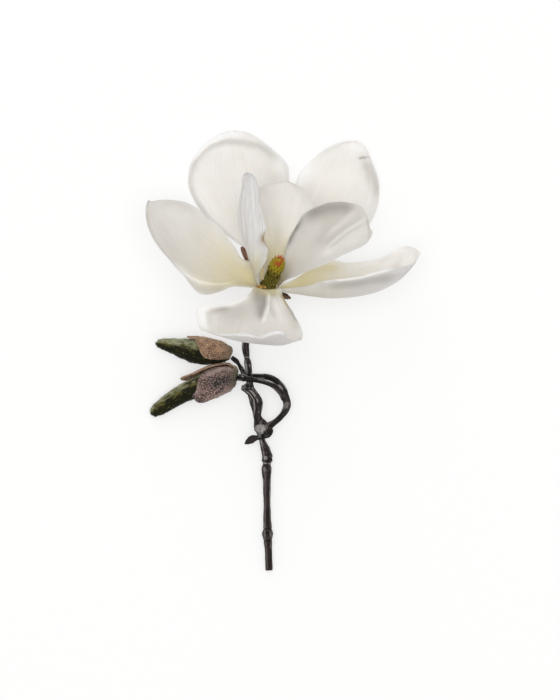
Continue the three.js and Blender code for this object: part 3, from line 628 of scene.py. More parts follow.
STEM = Limb(
    (1.7, -165, -16.9, 2.1), (1.3, -153, -16.9, 2.1), (0.9, -147.5, -16.8, 2.5), (0.8, -143.5, -16.7, 3.3),
    (0.8, -140.5, -16.7, 2.6), (0.6, -134, -16.6, 2.2), (0.5, -124, -16.5, 2.1), (0.4, -114, -16.3, 2.3),
    (0.2, -105.5, -16.1, 2.9), (0.4, -102.5, -16, 2.4), (0.5, -100.6, -16, 3.2), (0.6, -99.2, -15.9, 2.9),
    (0.6, -97.8, -15.9, 3.2), (-0.3, -94.6, -15.6, 2.7), (-2.3, -88.8, -15, 1.7), (-2.6, -85.8, -14.6, 2.6),
    (-2.5, -82.4, -14, 4.6), (-3.4, -79.6, -14.2, 4.0), (-5, -75.5, -14.8, 2.3), (-6.7, -70, -14.7, 1.9),
    (-9, -61, -14.1, 2.0), (-10, -51, -13.8, 2.0), (-10.7, -44, -14.3, 2.1), (-11.3, -40.4, -14.6, 1.6),
    (-11.8, -36.5, -14.9, 2.1), (-12, -31.5, -15, 2.1), (-10.6, -25, -14.8, 2.2), (-7.6, -17.4, -13, 2.5),
    (-3.9, -9.9, -9.2, 2.9), (*(BLOOM_AXIS * -5.4), 3.3),
)
STUB = Limb(
    (-2.6, -82.6, -13.6, 2.6), (-4.6, -79, -12.7, 2.3), (-5, -74.5, -12, 2.1), (-4.8, -70, -11.2, 2.5),
    (-5, -66, -10.4, 2.9), (-7.2, -62, -9.6, 2.7), (-9.9, -59, -8.8, 3.0), (-11.5, -56.8, -7.7, 3.9),
)
TWIG = Limb(
    (-1, -82, -14.2, 2.9), (1.6, -80.6, -14.1, 2.3), (5.4, -78, -14.1, 1.7), (9.1, -74.4, -14, 1.7),
    (11.4, -71, -13.8, 2.0), (12.2, -67.6, -13.7, 2.3), (11.2, -63.5, -13.6, 2.3), (9.8, -60.4, -13.6, 2.2),
)
UPPER_STRAND = Limb(
    (11.4, -64.5, -13.7, 2.1), (9.9, -59, -13.9, 2.1), (7.6, -55.6, -14.3, 1.9), (4.4, -53.1, -15.2, 1.8),
    (0.4, -51.7, -16.5, 1.7), (-4.4, -51.4, -17.4, 1.6), (-9.5, -51.2, -17.7, 1.3),
    (-12.6, -50.2, -17.5, 1.3), (-14.4, -47.4, -16.7, 1.3), (-16, -44.4, -15, 1.1),
    (-17.6, -42.4, -13.4, 1.5), (-20, -40.4, -11.9, 1.3),
)
LOWER_STRAND = Limb(
    (10.9, -64.5, -13.4, 2.1), (8.4, -60.4, -12.6, 1.9), (5, -57.3, -11.3, 1.6), (0.4, -55.1, -9.8, 1.4),
    (-4, -54, -8.8, 1.4), (-9.4, -53, -8.4, 1.5), (-13.4, -52.3, -9, 2), (-16, -51.7, -9.8, 2.1),
)
SPUR = Limb(
    (0, -81.6, -13.4, 2.2), (2.4, -83.2, -12.8, 1.8), (1.2, -85.6, -12, 1.6), (-2.4, -86.6, -11.4, 1.5),
    (-5.6, -87.3, -11.4, 1.5),
)
HOLLOW = np.array([-10.9, -56.2, -4.6])    # the hollow scar in the end of the stub
LEAF_BUD = Limb(
    (-5, -87.2, -11.4, 1.3), (-6.2, -87.4, -11.4, 1.7), (-7.6, -87.8, -11.4, 2.2),
    (-9.1, -88.6, -11.5, 2.3), (-10.8, -89.7, -11.7, 1.6), (-12.5, -90.8, -12, 0.4),
)
WOOD = (STEM, STUB, TWIG, UPPER_STRAND, LOWER_STRAND, SPUR)
WOOD_VOXEL = 0.28                 # the tubes are melted into one skin of this mesh size


def melted(parts, voxel):
    """Overlapping closed tubes as one even skin."""
    points, triangles = merged(parts)
    mesh = bpy.data.meshes.new("rough")
    mesh.from_pydata((points * MM).tolist(), [], triangles.tolist())
    rough = bpy.data.objects.new("rough", mesh)
    bpy.context.scene.collection.objects.link(rough)
    remesh = rough.modifiers.new("melt", "REMESH")
    remesh.mode = "VOXEL"
    remesh.voxel_size = voxel * MM
    evaluated = rough.evaluated_get(bpy.context.evaluated_depsgraph_get())
    skin = bpy.data.meshes.new_from_object(evaluated)
    bpy.data.objects.remove(rough)
    places = np.empty(len(skin.vertices) * 3, np.float32)
    skin.vertices.foreach_get("co", places)
    skin.calc_loop_triangles()
    corners = np.empty(len(skin.loop_triangles) * 3, np.int32)
    skin.loop_triangles.foreach_get("vertices", corners)
    return places.reshape(-1, 3).astype(float) / MM, corners.reshape(-1, 3)


LINE_STEPS = 12             # to a span of a limb
POINTS_AT_A_TIME = 8000     # keeps the table of distances small


def nearest_limb(points, limbs):
    """For each point: which limb it lies on, how far along it in mm, and its turn and distance round it."""
    best = np.full(len(points), np.inf)
    found = np.zeros((len(points), 4))
    for k, limb in enumerate(limbs):
        t = np.linspace(0, 1, LINE_STEPS * limb.spans + 1)
        line = limb.line(t)
        along = np.concatenate([[0], np.cumsum(np.linalg.norm(np.diff(line, axis=0), axis=1))])
        tangent = limb.tangent(t)
        for chunk in np.array_split(np.arange(len(points)), max(1, len(points) // POINTS_AT_A_TIME)):
            away = points[chunk, None] - line
            square = (away**2).sum(-1)
            i = square.argmin(1)
            depth = np.sqrt(square[np.arange(len(chunk)), i]) - limb.radius(t[i])
            nearer = depth < best[chunk]
            rows, i = chunk[nearer], i[nearer]
            offset = points[rows] - line[i]
            above = unit(np.array([0, 0, 1.0]) - tangent[i] * tangent[i][:, 2:])
            side = np.cross(tangent[i], above)
            x, y = (offset * above).sum(1), (offset * side).sum(1)
            best[rows] = depth[nearer]
            found[rows] = np.stack([np.full(len(rows), k), along[i] + (offset * tangent[i]).sum(1),
                                    np.arctan2(y, x), np.hypot(x, y)], 1)
    return found


def vertex_normals(points, triangles):
    a, b, c = (points[triangles[:, k]] for k in range(3))
    faces = np.cross(b - a, c - a)
    total = np.zeros_like(points)
    for k in range(3):
        np.add.at(total, triangles[:, k], faces)
    return unit(total)


# Knots round the crossing of the shoots: x, y, reach and height in mm.
KNOTS = (
    (-14.4, -46.7, 1.1, 0.8), (-13, -49.6, 1.2, 0.8), (-15.2, -52.6, 1.2, 0.6), (-14, -57, 0.9, 0.5),
    (-8.2, -57.4, 0.8, 0.5),
)

# Pale or dark patches of the bark, seen from above: x, y, reach in mm and how pale. Those at the knots are
# painted highlights on their tops and painted shade round them.
PATCHES = (
    (-4.6, -82.8, 4.2, 1), (-14.2, -46.9, 0.6, 0.4), (-12.8, -49.8, 0.5, 0.2), (-15, -51, 1.6, -0.8),
    (-12.5, -52.8, 1.5, -0.7), (-7, -52.6, 3, -0.5), (-3.6, -82.5, 0.9, -0.8), (11.8, -68.4, 2.5, 0.4),
    (8, -76, 2.5, 0.1), (-0.8, -81, 2.2, 0.5), (-0.4, -91.5, 2.4, 0.35), (-0.1, -98.9, 1.6, 0.7),
    (1.2, -101.1, 1.2, -1.2), (2.8, -99.7, 1.0, -1.2), (-1.7, -100.6, 0.8, -1), (-0.6, -105.6, 1.6, 0.25),
    (0.8, -142.6, 1.2, -1), (-2, -86, 1.2, -0.6),
)

# Painted highlights along the edges of the bark, seen from above: how pale, reach in mm, and places (x, y).
PAINTED_BARK_HIGHLIGHTS = (
    (0.9, 0.32, (-14.2, -58.3), (-9.4, -61.7), (-7.1, -65.2), (-6.8, -70), (-7.1, -75.7)),
    (0.8, 0.5, (-14.4, -56.4), (-13.4, -58), (-10.5, -58.2), (-8, -57.2)),
    (0.4, 0.3, (-7.5, -62.3), (-5, -65.2)),
    (0.5, 0.4, (-3.1, -64.2), (-1.9, -66.6), (-2.6, -70), (-2.8, -75)),
    (0.5, 0.35, (-9.9, -52.4), (1.3, -54.2), (5.2, -55.6)),
    (0.35, 1.2, (3, -57.4), (6, -60.4), (9.1, -64.2)),
    (0.5, 0.4, (-12.6, -45.2), (-11.2, -50.6)),
    (0.6, 0.35, (-15, -47.7), (-13.5, -49.4), (-14.8, -50.6)),
)

GROOVES = (17.5, 24.4, 61.6, 67.9, 125.6)    # dark rings of the stem, in mm from its cut end
COLLARS = (62.9, 126.4)                      # and pale ones
RING_REACH = 0.35
HOLLOW_REACH = 2.2
HOLLOW_DEPTH = 1.8
GROOVE_DEPTH = 0.25
RIDGE_HEIGHT = 0.14
LUMP_HEIGHT = 0.12
LIMB_SPACING = 17                            # mm, sets the grain of each limb apart
# From OLD_WOOD on, the stem is painted with lengthwise streaks of light and shade by which way it faces.
OLD_WOOD = dict(start=86, fade=8)            # streaked from here on, in mm from the heart to the cut end
RUSTY_WOOD = dict(start=104, fade=40)


def stem_rings(along, grain, places, wander, size):
    """1 on the rings round the stem, which wander a little, and 0 between them."""
    wandering = along + wander * noise(grain, size)
    return sum(bell(wandering, place, RING_REACH) for place in places)


def bark_relief(points, ridges, grooves):
    """How far the bark stands out, in mm."""
    rough = RIDGE_HEIGHT * ridges + LUMP_HEIGHT * noise(points, 2.5) - GROOVE_DEPTH * grooves
    rough = rough - HOLLOW_DEPTH * bell(np.linalg.norm(points - HOLLOW, axis=1), 0, HOLLOW_REACH)
    for x, y, reach, height in KNOTS:
        rough = rough + height * bell(from_above(points, x, y), 0, reach)
    return rough


def bark_patches_and_painted_light(points, upward, ragged):
    """How pale or, below 0, how dark the patches, the painted highlight lines and the painted shade in the
    hollow make the bark.
    """
    patches_and_painted_light = np.zeros(len(points))
    for x, y, reach, pale in PATCHES:
        spot = bell(from_above(points, x, y), 0, reach)
        patches_and_painted_light = patches_and_painted_light + pale * smooth((spot - 0.45 + ragged) / 0.3) * upward
    for pale, reach, *places in PAINTED_BARK_HIGHLIGHTS:
        line = near_line(points[:, :2], np.array(places, float), reach)
        patches_and_painted_light = patches_and_painted_light + pale * line * smooth(1.3 * upward + ragged)
    # Painted shade in the mouth of the hollow stub.
    mouth = np.linalg.norm((points - HOLLOW) * (0.8, 1.2, 1), axis=1)
    return patches_and_painted_light - 2 * bell(mouth, 0, HOLLOW_REACH)


def old_wood_painted_light(normals, grain):
    """Painted light and shade by which way the old wood faces: lengthwise light streaks on its two sides and a
    dark one along its middle.
    """
    facing = normals[:, 0] + 0.25 * noise(grain * (0.12, 1, 1), 1.3)
    return 0.2 * bell(facing, -0.55, 0.25) + 0.3 * bell(facing, 0.85, 0.1) - 0.6 * bell(facing, 0.15, 0.35)


def make_wood(material):
    """Bark with lengthwise ridges, ring scars at the nodes, knots and the hollow stub."""
    points, triangles = melted([limb.skin(rings_per_span=8, sides=28)[:2] for limb in WOOD], WOOD_VOXEL)
    limb, along, turn, away = nearest_limb(points, WOOD).T
    on_stem = limb == WOOD.index(STEM)
    on_spur = limb == WOOD.index(SPUR)
    grain = stack(along, away * np.cos(turn) + LIMB_SPACING * limb, away * np.sin(turn))
    normals = vertex_normals(points, triangles)
    ridges = noise(grain * (0.12, 1, 1), 0.9) + 0.5 * noise(grain * (0.2, 1, 1) + 40, 0.45)
    grooves = on_stem * stem_rings(along, grain, GROOVES, wander=0.25, size=2)
    points = above_floor(points + normals * bark_relief(points, ridges, grooves)[:, None])
    upward = smooth(normals[:, 2])
    patches_and_painted_light = bark_patches_and_painted_light(points, upward, 0.35 * noise(grain * (0.5, 1, 1), 0.7))
    patches_and_painted_light = patches_and_painted_light - 0.8 * on_spur * smooth((along - 2) / 2) - 0.7 * grooves
    patches_and_painted_light = patches_and_painted_light + 0.8 * on_stem * stem_rings(along, grain, COLLARS, wander=0.3, size=1.5)
    down_stem = -points[:, 1]
    old = smooth((down_stem - OLD_WOOD["start"]) / OLD_WOOD["fade"])
    patches_and_painted_light = patches_and_painted_light + old * old_wood_painted_light(normals, grain)
    on_shoot = ~on_stem & ~on_spur
    patches_and_painted_light = patches_and_painted_light - 0.5 * on_shoot * smooth(0.6 - ridges) * smooth((0.25 - patches_and_painted_light) / 0.15)
    blotches = 0.3 * noise(grain * (0.2, 1, 1), 1.5)
    rust = smooth((down_stem - RUSTY_WOOD["start"]) / RUSTY_WOOD["fade"] + blotches)
    # Painted highlight: paler where the bark faces +Y and -X, where the light falls, and on its ridges; less on
    # the old wood.
    painted_upper_highlight = smooth((normals[:, 1] - 0.35 * normals[:, 0] + 0.8 * ridges - 0.45) / 0.4) * (1 - 0.8 * old)
    facts = {"grain": grain, "ridge": ridges, "patches_and_painted_light": patches_and_painted_light, "rust": rust, "painted_upper_highlight": painted_upper_highlight}
    piece("branch_wood", points, triangles, material, "branch", facts)


# ------------------------------------------------------------------ flower buds and their scales

UPPER_BUD = Limb(
    (-20.9, -40, -11.8, 2.0), (-23, -39.1, -11.6, 4.2), (-28.6, -38.1, -11.5, 6.2),
    (-35.8, -37.4, -11.5, 7.1), (-41.6, -36.7, -11.3, 6.9), (-47.5, -35.4, -11, 5.9),
    (-53.3, -34, -10.7, 4.6), (-59.2, -32.7, -10.5, 3.3), (-62.6, -32.2, -10.4, 2.3),
    (-64.4, -32, -10.3, 0.7),
)
LOWER_BUD = Limb(
    (-16.7, -51.6, -9.9, 2.4), (-18.4, -51.5, -10.2, 4.4), (-22.5, -51.8, -10.9, 6),
    (-30.5, -53.7, -11.9, 6.5), (-38.7, -57, -12.4, 6.1), (-44.6, -59.4, -13, 5.6),
    (-50.4, -62.4, -13.9, 5.2), (-56.3, -66, -14.8, 4.7), (-62.3, -70, -15.8, 4.1),
    (-65.8, -72.6, -16.4, 3), (-67.2, -73.6, -16.7, 0.8),
)
BUD_GIRTH = 6                     # mm, for the patterns on a bud's skin
BUD_HAIRS = 6000
BUD_HAIR_LENGTH = 1.0
SCALE_HAIRS = 5000
SCALE_HAIR_LENGTH = 0.55
SCALE_GAP = 0.95
SCALE_THICKNESS = 0.8
LIT_TURN = 1.25                   # where a bud is painted paler, a painted highlight on its lit side
SHADED_TURN = 1.1                 # its dark belly, painted shade, lies opposite this turn


def make_bud(name, limb, material, seed, shade, rim=np.inf):
    """A furry bud, painted paler on its lit side as a painted highlight. Its dark belly, painted shade, climbs
    as far as `shade`, and a scale's loose edge casts a painted shadow on it at the turn `rim`."""

    def lumps(t, turn):
        around = limb.unrolled(t, turn, BUD_GIRTH)
        seams = 0.22 * bell(np.sin(1.5 * turn + 2 * t + seed), 0, 0.12)
        return 0.16 * noise(around + 11 * seed, 3.2) + 0.1 * noise(around * (0.4, 1, 1), 1.1) - seams

    points, triangles, t, turn = limb.skin(rings_per_span=22, sides=96, extra=lumps)
    around = limb.unrolled(t, turn, BUD_GIRTH)
    patchy = 0.3 * noise(around, 2)
    # Painted light: a painted highlight on the lit side, painted shade on the belly and a painted shadow under
    # the loose edge of a scale.
    painted_lit_side = smooth((np.cos(turn - LIT_TURN) + patchy + 0.2 - shade) / 0.45)
    belly = smooth((shade - np.cos(turn - SHADED_TURN) + patchy) / 0.35)
    belly = belly * (1 - 0.5 * smooth((-0.75 - turn) / 0.4))
    under = bell(turn, rim, 0.16) * smooth((0.55 - t) / 0.1)
    shaded = np.maximum(belly, 0.9 * under)
    facts = {"around": around, "painted_lit_side": painted_lit_side, "shaded": shaded}
    lean = unit(limb.line([1.0]) - limb.line([0.0]))
    everywhere = slice(None)
    points, triangles, facts = with_fuzz(
        points, triangles, facts, everywhere, lean, count=BUD_HAIRS, length=BUD_HAIR_LENGTH, seed=seed)
    piece(name + "_body", points, triangles, material, name, facts)


def scale_surface(limb, low, high, turn, spread, lift, slant=0, loose=None):
    """A bud scale wraps round its bud from low to high along it, centred at the turn. It reaches as far as
    the spread to each side, and its tip stands off by the lift. A slant makes one side of it longer."""

    def point_at(s, v):
        t = low + (high - low) * v * (1 - slant * s)
        reach = spread * np.sqrt(np.maximum(1 - v**6, 0)) * (0.85 + 0.15 * v)
        distance = limb.radius(t) + SCALE_GAP + SCALE_THICKNESS / 2 + lift * v**2
        if loose:
            distance = distance + loose(s, v)
        wrinkles = 0.2 * noise(stack(9 * v, 5 * s, 0 * s), 0.8) + 0.1 * noise(stack(6 * v, 24 * s, 0 * s))
        wrinkles = wrinkles + 0.16 * noise(stack(22 * v, 13 * s, 5 + 0 * s))
        return limb.beside(t, turn + s * reach, distance + wrinkles * smooth(v / 0.1))

    return point_at


def scale_thickness(s, v):
    """Thick along the middle of the foot, thin at the sides and the tip."""
    return 0.75 - 0.35 * np.abs(s) ** 3 - 0.25 * v**3


# Painted highlights and painted shade on the scales: how much paler or darker, how wide in mm, and points (s,
# v).
SCALE_MARKS = {
    "upper": (
        (0.3, 3.5, (0.1, 0.9), (0.3, 0.55), (0.5, 0.3)),
        (-0.5, 2.5, (-0.8, 0.1), (-0.9, 0.5), (-0.7, 0.8)),
        (-0.4, 2.5, (-0.3, 0.05), (0.4, 0.08)),
        (0.4, 0.7, (0.6, 0.92), (0, 0.985), (-0.7, 0.9)),
    ),
    "lower_front": (
        (0.8, 1.5, (0.8, 0.15), (0.82, 0.5), (0.7, 0.8)),
        (-1.1, 3.2, (0.1, 0.2), (0.1, 0.5), (0.1, 0.75)),
        (-0.5, 2.5, (-0.3, 0.04), (0.5, 0.06)),
        (0.8, 2.2, (-0.75, 0.2), (-0.8, 0.45), (-0.75, 0.7)),
        (-0.9, 1.6, (-0.95, 0.85), (-0.6, 0.97)),
        (0.7, 1.2, (0.6, 0.93), (0.1, 0.97), (-0.3, 0.96)),
    ),
    "lower_back": (
        (1, 0.8, (-0.97, 0.0), (-0.97, 0.1), (-0.97, 0.5), (-0.93, 0.8)),
        (-0.6, 1.4, (-0.3, 0.05), (-0.4, 0.9)),
    ),
}


def loose_rim(s, v):
    """How far the near edge of a scale stands off its bud."""
    return 2.2 * smooth(-s) * smooth(1.3 * v)


def gaping_rim(s, v):
    """The same for a scale that gapes from its foot on."""
    return 2.2 * smooth(-s) * smooth(3 * v) * (1 - 0.6 * v)


SCALES = {
    "upper": ("tan", scale_surface(
        UPPER_BUD, low=0.02, high=0.49, turn=1, spread=1.6, lift=0.4, slant=-0.16)),
    "lower_front": ("purple", scale_surface(
        LOWER_BUD, low=0.02, high=0.445, turn=-0.35, spread=1.5, lift=0.5, slant=0.09, loose=loose_rim)),
    "lower_back": ("tan", scale_surface(
        LOWER_BUD, low=0.02, high=0.53, turn=1.8, spread=0.85, lift=0.8, loose=gaping_rim)),
}


def make_scales(materials):
    for name, (color, surface) in SCALES.items():
        points, triangles, facts = sheet(surface, scale_thickness, across=90, along=80)
        outside = facts["outer"][triangles].min(1) > 0
        # Painted light: the scale is painted paler or darker along the lines of SCALE_MARKS, as painted
        # highlights and shade.
        facts["painted_light_and_tint"] = sum(
            pale * near_line(points, surface(*np.array(stops, float).T), reach)
            for pale, reach, *stops in SCALE_MARKS[name])
        foot, tip = surface(np.zeros(2), np.array([0, 1]))
        points, triangles, facts = with_fuzz(
            points, triangles, facts, outside, unit(tip - foot), count=SCALE_HAIRS, length=SCALE_HAIR_LENGTH,
            seed=len(name))
        piece(f"bud_scale_{name}_husk", points, triangles, materials[color],
              f"bud_scale_{name}", facts)


def leaf_bud_lumps(t, turn):
    return 0.12 * noise(stack(9 * t, 3 * np.cos(turn), 3 * np.sin(turn)), 1.2)


def make_leaf_bud(material):
    """It is too small for a grain of its own."""
    points, triangles, _, _ = LEAF_BUD.skin(rings_per_span=14, sides=40, extra=leaf_bud_lumps)
    piece("leaf_bud_body", points, triangles, material, "leaf_bud", facts={})


BRACT_DARK = {"left": 0, "right": 0.45}
BRACT_RUFFLE = 0.25
BRACT_THICKNESS = 0.6


def make_bracts(material):
    for name, shape in BRACTS.items():
        shape = {**TEPAL_SHAPE, **shape, "ruffle": BRACT_RUFFLE}
        point_at = tepal_surface(shape)[0]
        points, triangles, facts = sheet(point_at, lambda s, v: BRACT_THICKNESS + 0 * s, across=30, along=50)
        facts["painted_light_and_tint"] = -0.7 * smooth((abs(facts["span"]) - 0.45) / 0.4) - BRACT_DARK[name]
        piece(f"bract_{name}_husk", points, triangles, material, f"bract_{name}", facts)


# ------------------------------------------------------------------ the cone in the heart of the bloom

CONE_FOOT = 3                     # in mm along its axis, like the top
CONE_TOP = 23.5
CONE_SHIFT = 1                    # mm to +X at its foot
CONE_LEAN = 1.6                   # and at its top
CONE_PROFILE = ((-5, 3.5), (-3.4, 4.6), (0, 4.9), (2.4, 4.4), (4.5, 2.8), (9, 2.7), (13, 3.1), (17.5, 3.2),
                (21, 2.2), (22.8, 1))
CARPELS = 52
GOLDEN_ANGLE = math.pi * (3 - math.sqrt(5))
ABOVE_AXIS = unit(np.array([0, 0, 1]) - BLOOM_AXIS * BLOOM_AXIS[2])
BESIDE_AXIS = np.cross(BLOOM_AXIS, ABOVE_AXIS)


def on_cone(along):
    share = along / CONE_TOP
    shift = CONE_SHIFT * smooth(along / CONE_FOOT) * (1 - share) + CONE_LEAN * max(share, 0)
    return BLOOM_AXIS * along + np.array([shift, 0, 0])


def round_cone(along, turn, distance):
    return on_cone(along) + ABOVE_AXIS * distance * np.cos(turn) + BESIDE_AXIS * distance * np.sin(turn)


def cone_ribs(t, turn):
    return 0.18 * np.cos(11 * turn + 6 * t) * smooth((t - 0.35) * 6)


# A carpel's stations: how far they lie past its foot and out from its place on the cone, and the radius.
CARPEL = ((-1, -1.4, 0.6), (0.6, 0, 0.95), (2.2, 0.7, 0.5), (3.6, 1.3, 0.2))
LOWEST_CARPEL = 12.5              # mm up the cone
CARPEL_CLIMB = 8.5                # from there to the topmost
CARPEL_PLACE = 3.3                # mm out from the axis
CARPEL_TAPER = 1.9                # by which the topmost stands nearer


def make_cone(material):
    """The receptacle with a spiral of carpels, each with its curled style."""
    cone = Limb(*((*on_cone(along), radius) for along, radius in CONE_PROFILE))
    points, triangles, t, _ = cone.skin(rings_per_span=8, sides=60, extra=cone_ribs)
    parts = [(points, triangles)]
    style = [np.zeros(len(points))]
    height = [t]
    for k in range(CARPELS):
        rise = k / (CARPELS - 1)
        foot = LOWEST_CARPEL + CARPEL_CLIMB * rise
        turn = k * GOLDEN_ANGLE
        place = CARPEL_PLACE - CARPEL_TAPER * rise**3
        stations = ((*round_cone(foot + past, turn, place + out), radius) for past, out, radius in CARPEL)
        points, triangles, t, _ = Limb(*stations).skin(rings_per_span=5, sides=12)
        parts.append((points, triangles))
        style.append(smooth((t - 0.2) * 3) * smooth((np.abs(np.cos(turn)) - 0.3) * 3))
        height.append(np.full(len(t), 0.6 + 0.4 * rise))
    points, triangles = merged(parts)
    facts = {"style": np.concatenate(style), "rise": np.concatenate(height)}
    piece("cone_carpels", points, triangles, material, "cone", facts)


STAMENS = 18                      # standing in a ring
FALLEN = 14                       # a few shed stamens lie at the foot of the cone
FALLEN_HEAP = np.array([-2.6, 0.6, 6.2])
FALLEN_SPREAD = np.array([2.6, 1.0, 0.6])
STAMEN_FOOT = 4.8                 # mm up the cone
STAMEN_LENGTH = 7.6
FALLEN_LENGTH = 1.8


def make_stamens(material):
    """The ring of stamens round the cone's foot, and the shed ones."""
    standing = []
    for k in range(STAMENS):
        turn = 2 * math.pi * k / STAMENS
        length = STAMEN_LENGTH * (0.9 + 0.1 * math.sin(5 * k))
        stamen = Limb(
            (*round_cone(STAMEN_FOOT + 0.3, turn, 3.6), 0.45),
            (*round_cone(STAMEN_FOOT + 0.5 * length, turn, 3.85), 0.6),
            (*round_cone(STAMEN_FOOT + length, turn, 4.1), 0.3))
        standing.append(stamen.skin(rings_per_span=8, sides=12))
    fallen = []
    chance = np.random.default_rng(3)
    for _ in range(FALLEN):
        spot = FALLEN_HEAP + chance.uniform(-1, 1, 3) * FALLEN_SPREAD
        reach = unit(chance.normal(size=3)) * FALLEN_LENGTH / 2
        stamen = Limb((*(spot - reach), 0.35), (*spot, 0.6), (*(spot + reach), 0.3))
        fallen.append(stamen.skin(rings_per_span=6, sides=12))
    skins = standing + fallen
    points, triangles = merged([skin[:2] for skin in skins])
    up = sum(len(skin[0]) for skin in standing)
    facts = {"rise": np.concatenate([skin[2] for skin in skins]),
             "fallen": (np.arange(len(points)) >= up).astype(float)}
    piece("stamens_anthers", points, triangles, material, "stamens", facts)


# ------------------------------------------------------------------ materials

BLACK = (0.0, 0.0, 0.0)
WHITE = (1.0, 1.0, 1.0)
HUSK_COLORS = {
    "husk_tan": dict(
        dark=(0.20, 0.105, 0.055), light=(0.40, 0.235, 0.13), edge=(0.60, 0.40, 0.26),
        foot=(0.17, 0.13, 0.07)),
    "husk_purple": dict(
        dark=(0.034, 0.017, 0.013), light=(0.175, 0.092, 0.076), edge=(0.48, 0.355, 0.32),
        foot=(0.10, 0.09, 0.04)),
    "bract": dict(
        dark=(0.26, 0.10, 0.06), light=(0.44, 0.20, 0.125), edge=(0.48, 0.28, 0.19),
        foot=(0.15, 0.06, 0.035)),
}


class Paint:
    """A node material in short: each method adds one node and gives its output."""

    def __init__(self, name, **surface):
        self.material = bpy.data.materials.new(name)
        self.material.use_nodes = True
        self.nodes = self.material.node_tree.nodes
        self.links = self.material.node_tree.links
        self.shader = self.nodes["Principled BSDF"]
        for key, value in surface.items():
            self.shader.inputs[key.replace("_", " ")].default_value = value

    def put(self, value, socket):
        if isinstance(value, bpy.types.NodeSocket):
            self.links.new(value, socket)
        else:
            socket.default_value = value

    def node(self, kind, output, inputs, **settings):
        made = self.nodes.new("ShaderNode" + kind)
        for key, value in settings.items():
            setattr(made, key, value)
        for key, value in inputs.items():
            self.put(value, made.inputs[key])
        return made.outputs[output]

    def fact(self, name, output="Fac"):
        return self.node("Attribute", output, {}, attribute_name=name)

    def place(self):
        return self.node("TexCoord", "Object", {})

    def stretched(self, vector, *scale):
        return self.node("Mapping", "Vector", {"Vector": vector, "Scale": scale})

    def joined(self, x, y, z):
        return self.node("CombineXYZ", "Vector", {"X": x, "Y": y, "Z": z})

    def noise(self, vector, scale, detail=4.0, roughness=0.55):
        inputs = {"Vector": vector, "Scale": scale, "Detail": detail, "Roughness": roughness}
        return self.node("TexNoise", "Fac", inputs)

    def math(self, operation, a, b=0.0):
        return self.node("Math", "Value", {0: a, 1: b}, operation=operation)

    def times(self, a, b):
        return self.math("MULTIPLY", a, b)

    def ramp(self, value, low, high, out_low=0.0, out_high=1.0):
        inputs = {"Value": value, "From Min": low, "From Max": high, "To Min": out_low, "To Max": out_high}
        return self.node("MapRange", "Result", inputs, interpolation_type="SMOOTHSTEP")

    def mix(self, share, a, b):
        a, b = ((*color, 1) if isinstance(color, tuple) else color for color in (a, b))
        return self.node("Mix", 2, {"Factor": share, 6: a, 7: b}, data_type="RGBA")

    def bump(self, *layers):
        """Layers of (height, depth in mm) on the surface."""
        normal = {}
        for height, depth in layers:
            inputs = {"Distance": depth * MM, "Height": height, **normal}
            normal = {"Normal": self.node("Bump", "Normal", inputs)}
        self.put(normal["Normal"], self.shader.inputs["Normal"])

    def finished(self, color, roughness=None):
        self.put(color, self.shader.inputs["Base Color"])
        if roughness is not None:
            self.put(roughness, self.shader.inputs["Roughness"])
        return self.material


def scaled(color, factor):
    """The colour made brighter or darker, up to full."""
    return tuple(min(1, factor * channel) for channel in color)


def tepal_material():
    """Thick white flesh with veins, a yellow-green foot, brown lines, and painted highlights and shade on each.
    """
    paint = Paint("tepal", Roughness=0.5, Subsurface_Weight=0.35, Subsurface_Scale=0.003)
    paint.shader.inputs["Subsurface Radius"].default_value = (1.0, 0.85, 0.65)
    span, rise, outer = paint.fact("span"), paint.fact("rise"), paint.fact("outer")
    veined, painted_light_and_tint = paint.fact("veined"), paint.fact("painted_light_and_tint")
    from_middle = paint.math("ABSOLUTE", span)
    apart = paint.math("ADD", outer, paint.fact("width"))
    fan = paint.joined(span, paint.times(rise, 0.08), apart)
    broad = paint.noise(fan, 7.0, 2.0)
    fine = paint.noise(fan, 34.0, 3.0, 0.6)
    mottle = paint.noise(paint.place(), 55.0, 3.0)
    inside = paint.mix(paint.ramp(mottle, 0.3, 0.7), (0.90, 0.863, 0.805), (0.93, 0.898, 0.85))
    outside = paint.mix(paint.ramp(broad, 0.3, 0.7), (0.80, 0.77, 0.755), (0.86, 0.84, 0.82))
    color = paint.mix(outer, inside, outside)
    foot = paint.ramp(paint.math("DIVIDE", rise, paint.fact("green")), 0.1, 1.1, 1.0, 0.0)
    foot = paint.times(foot, paint.ramp(broad, 0.2, 0.8, 0.75, 1.0))
    foot = paint.times(foot, paint.ramp(outer, 0.0, 1.0, 0.9, 0.4))
    foot = paint.times(foot, paint.ramp(from_middle, 0.5, 1.0, 1.0, 0.5))
    color = paint.mix(foot, color, (0.80, 0.70, 0.37))
    edge = paint.ramp(from_middle, 0.8, 1.0)
    color = paint.mix(paint.times(edge, 0.25), color, (0.95, 0.94, 0.92))
    veins = paint.times(paint.ramp(fine, 0.45, 0.72, 0.0, 0.6), veined)
    color = paint.mix(veins, color, (0.66, 0.63, 0.60))
    # Painted light: the flesh is painted darker as painted shade and paler as a painted highlight.
    color = paint.mix(paint.times(painted_light_and_tint, -1.0), color, BLACK)
    color = paint.mix(painted_light_and_tint, color, WHITE)
    color = paint.mix(paint.fact("flush"), color, (0.60, 0.53, 0.24))
    color = paint.mix(paint.fact("brown_lines"), color, (0.30, 0.22, 0.09))
    paint.bump((paint.times(fine, veined), 0.8), (mottle, 0.15))
    return paint.finished(color, paint.ramp(fine, 0.3, 0.7, 0.42, 0.58))


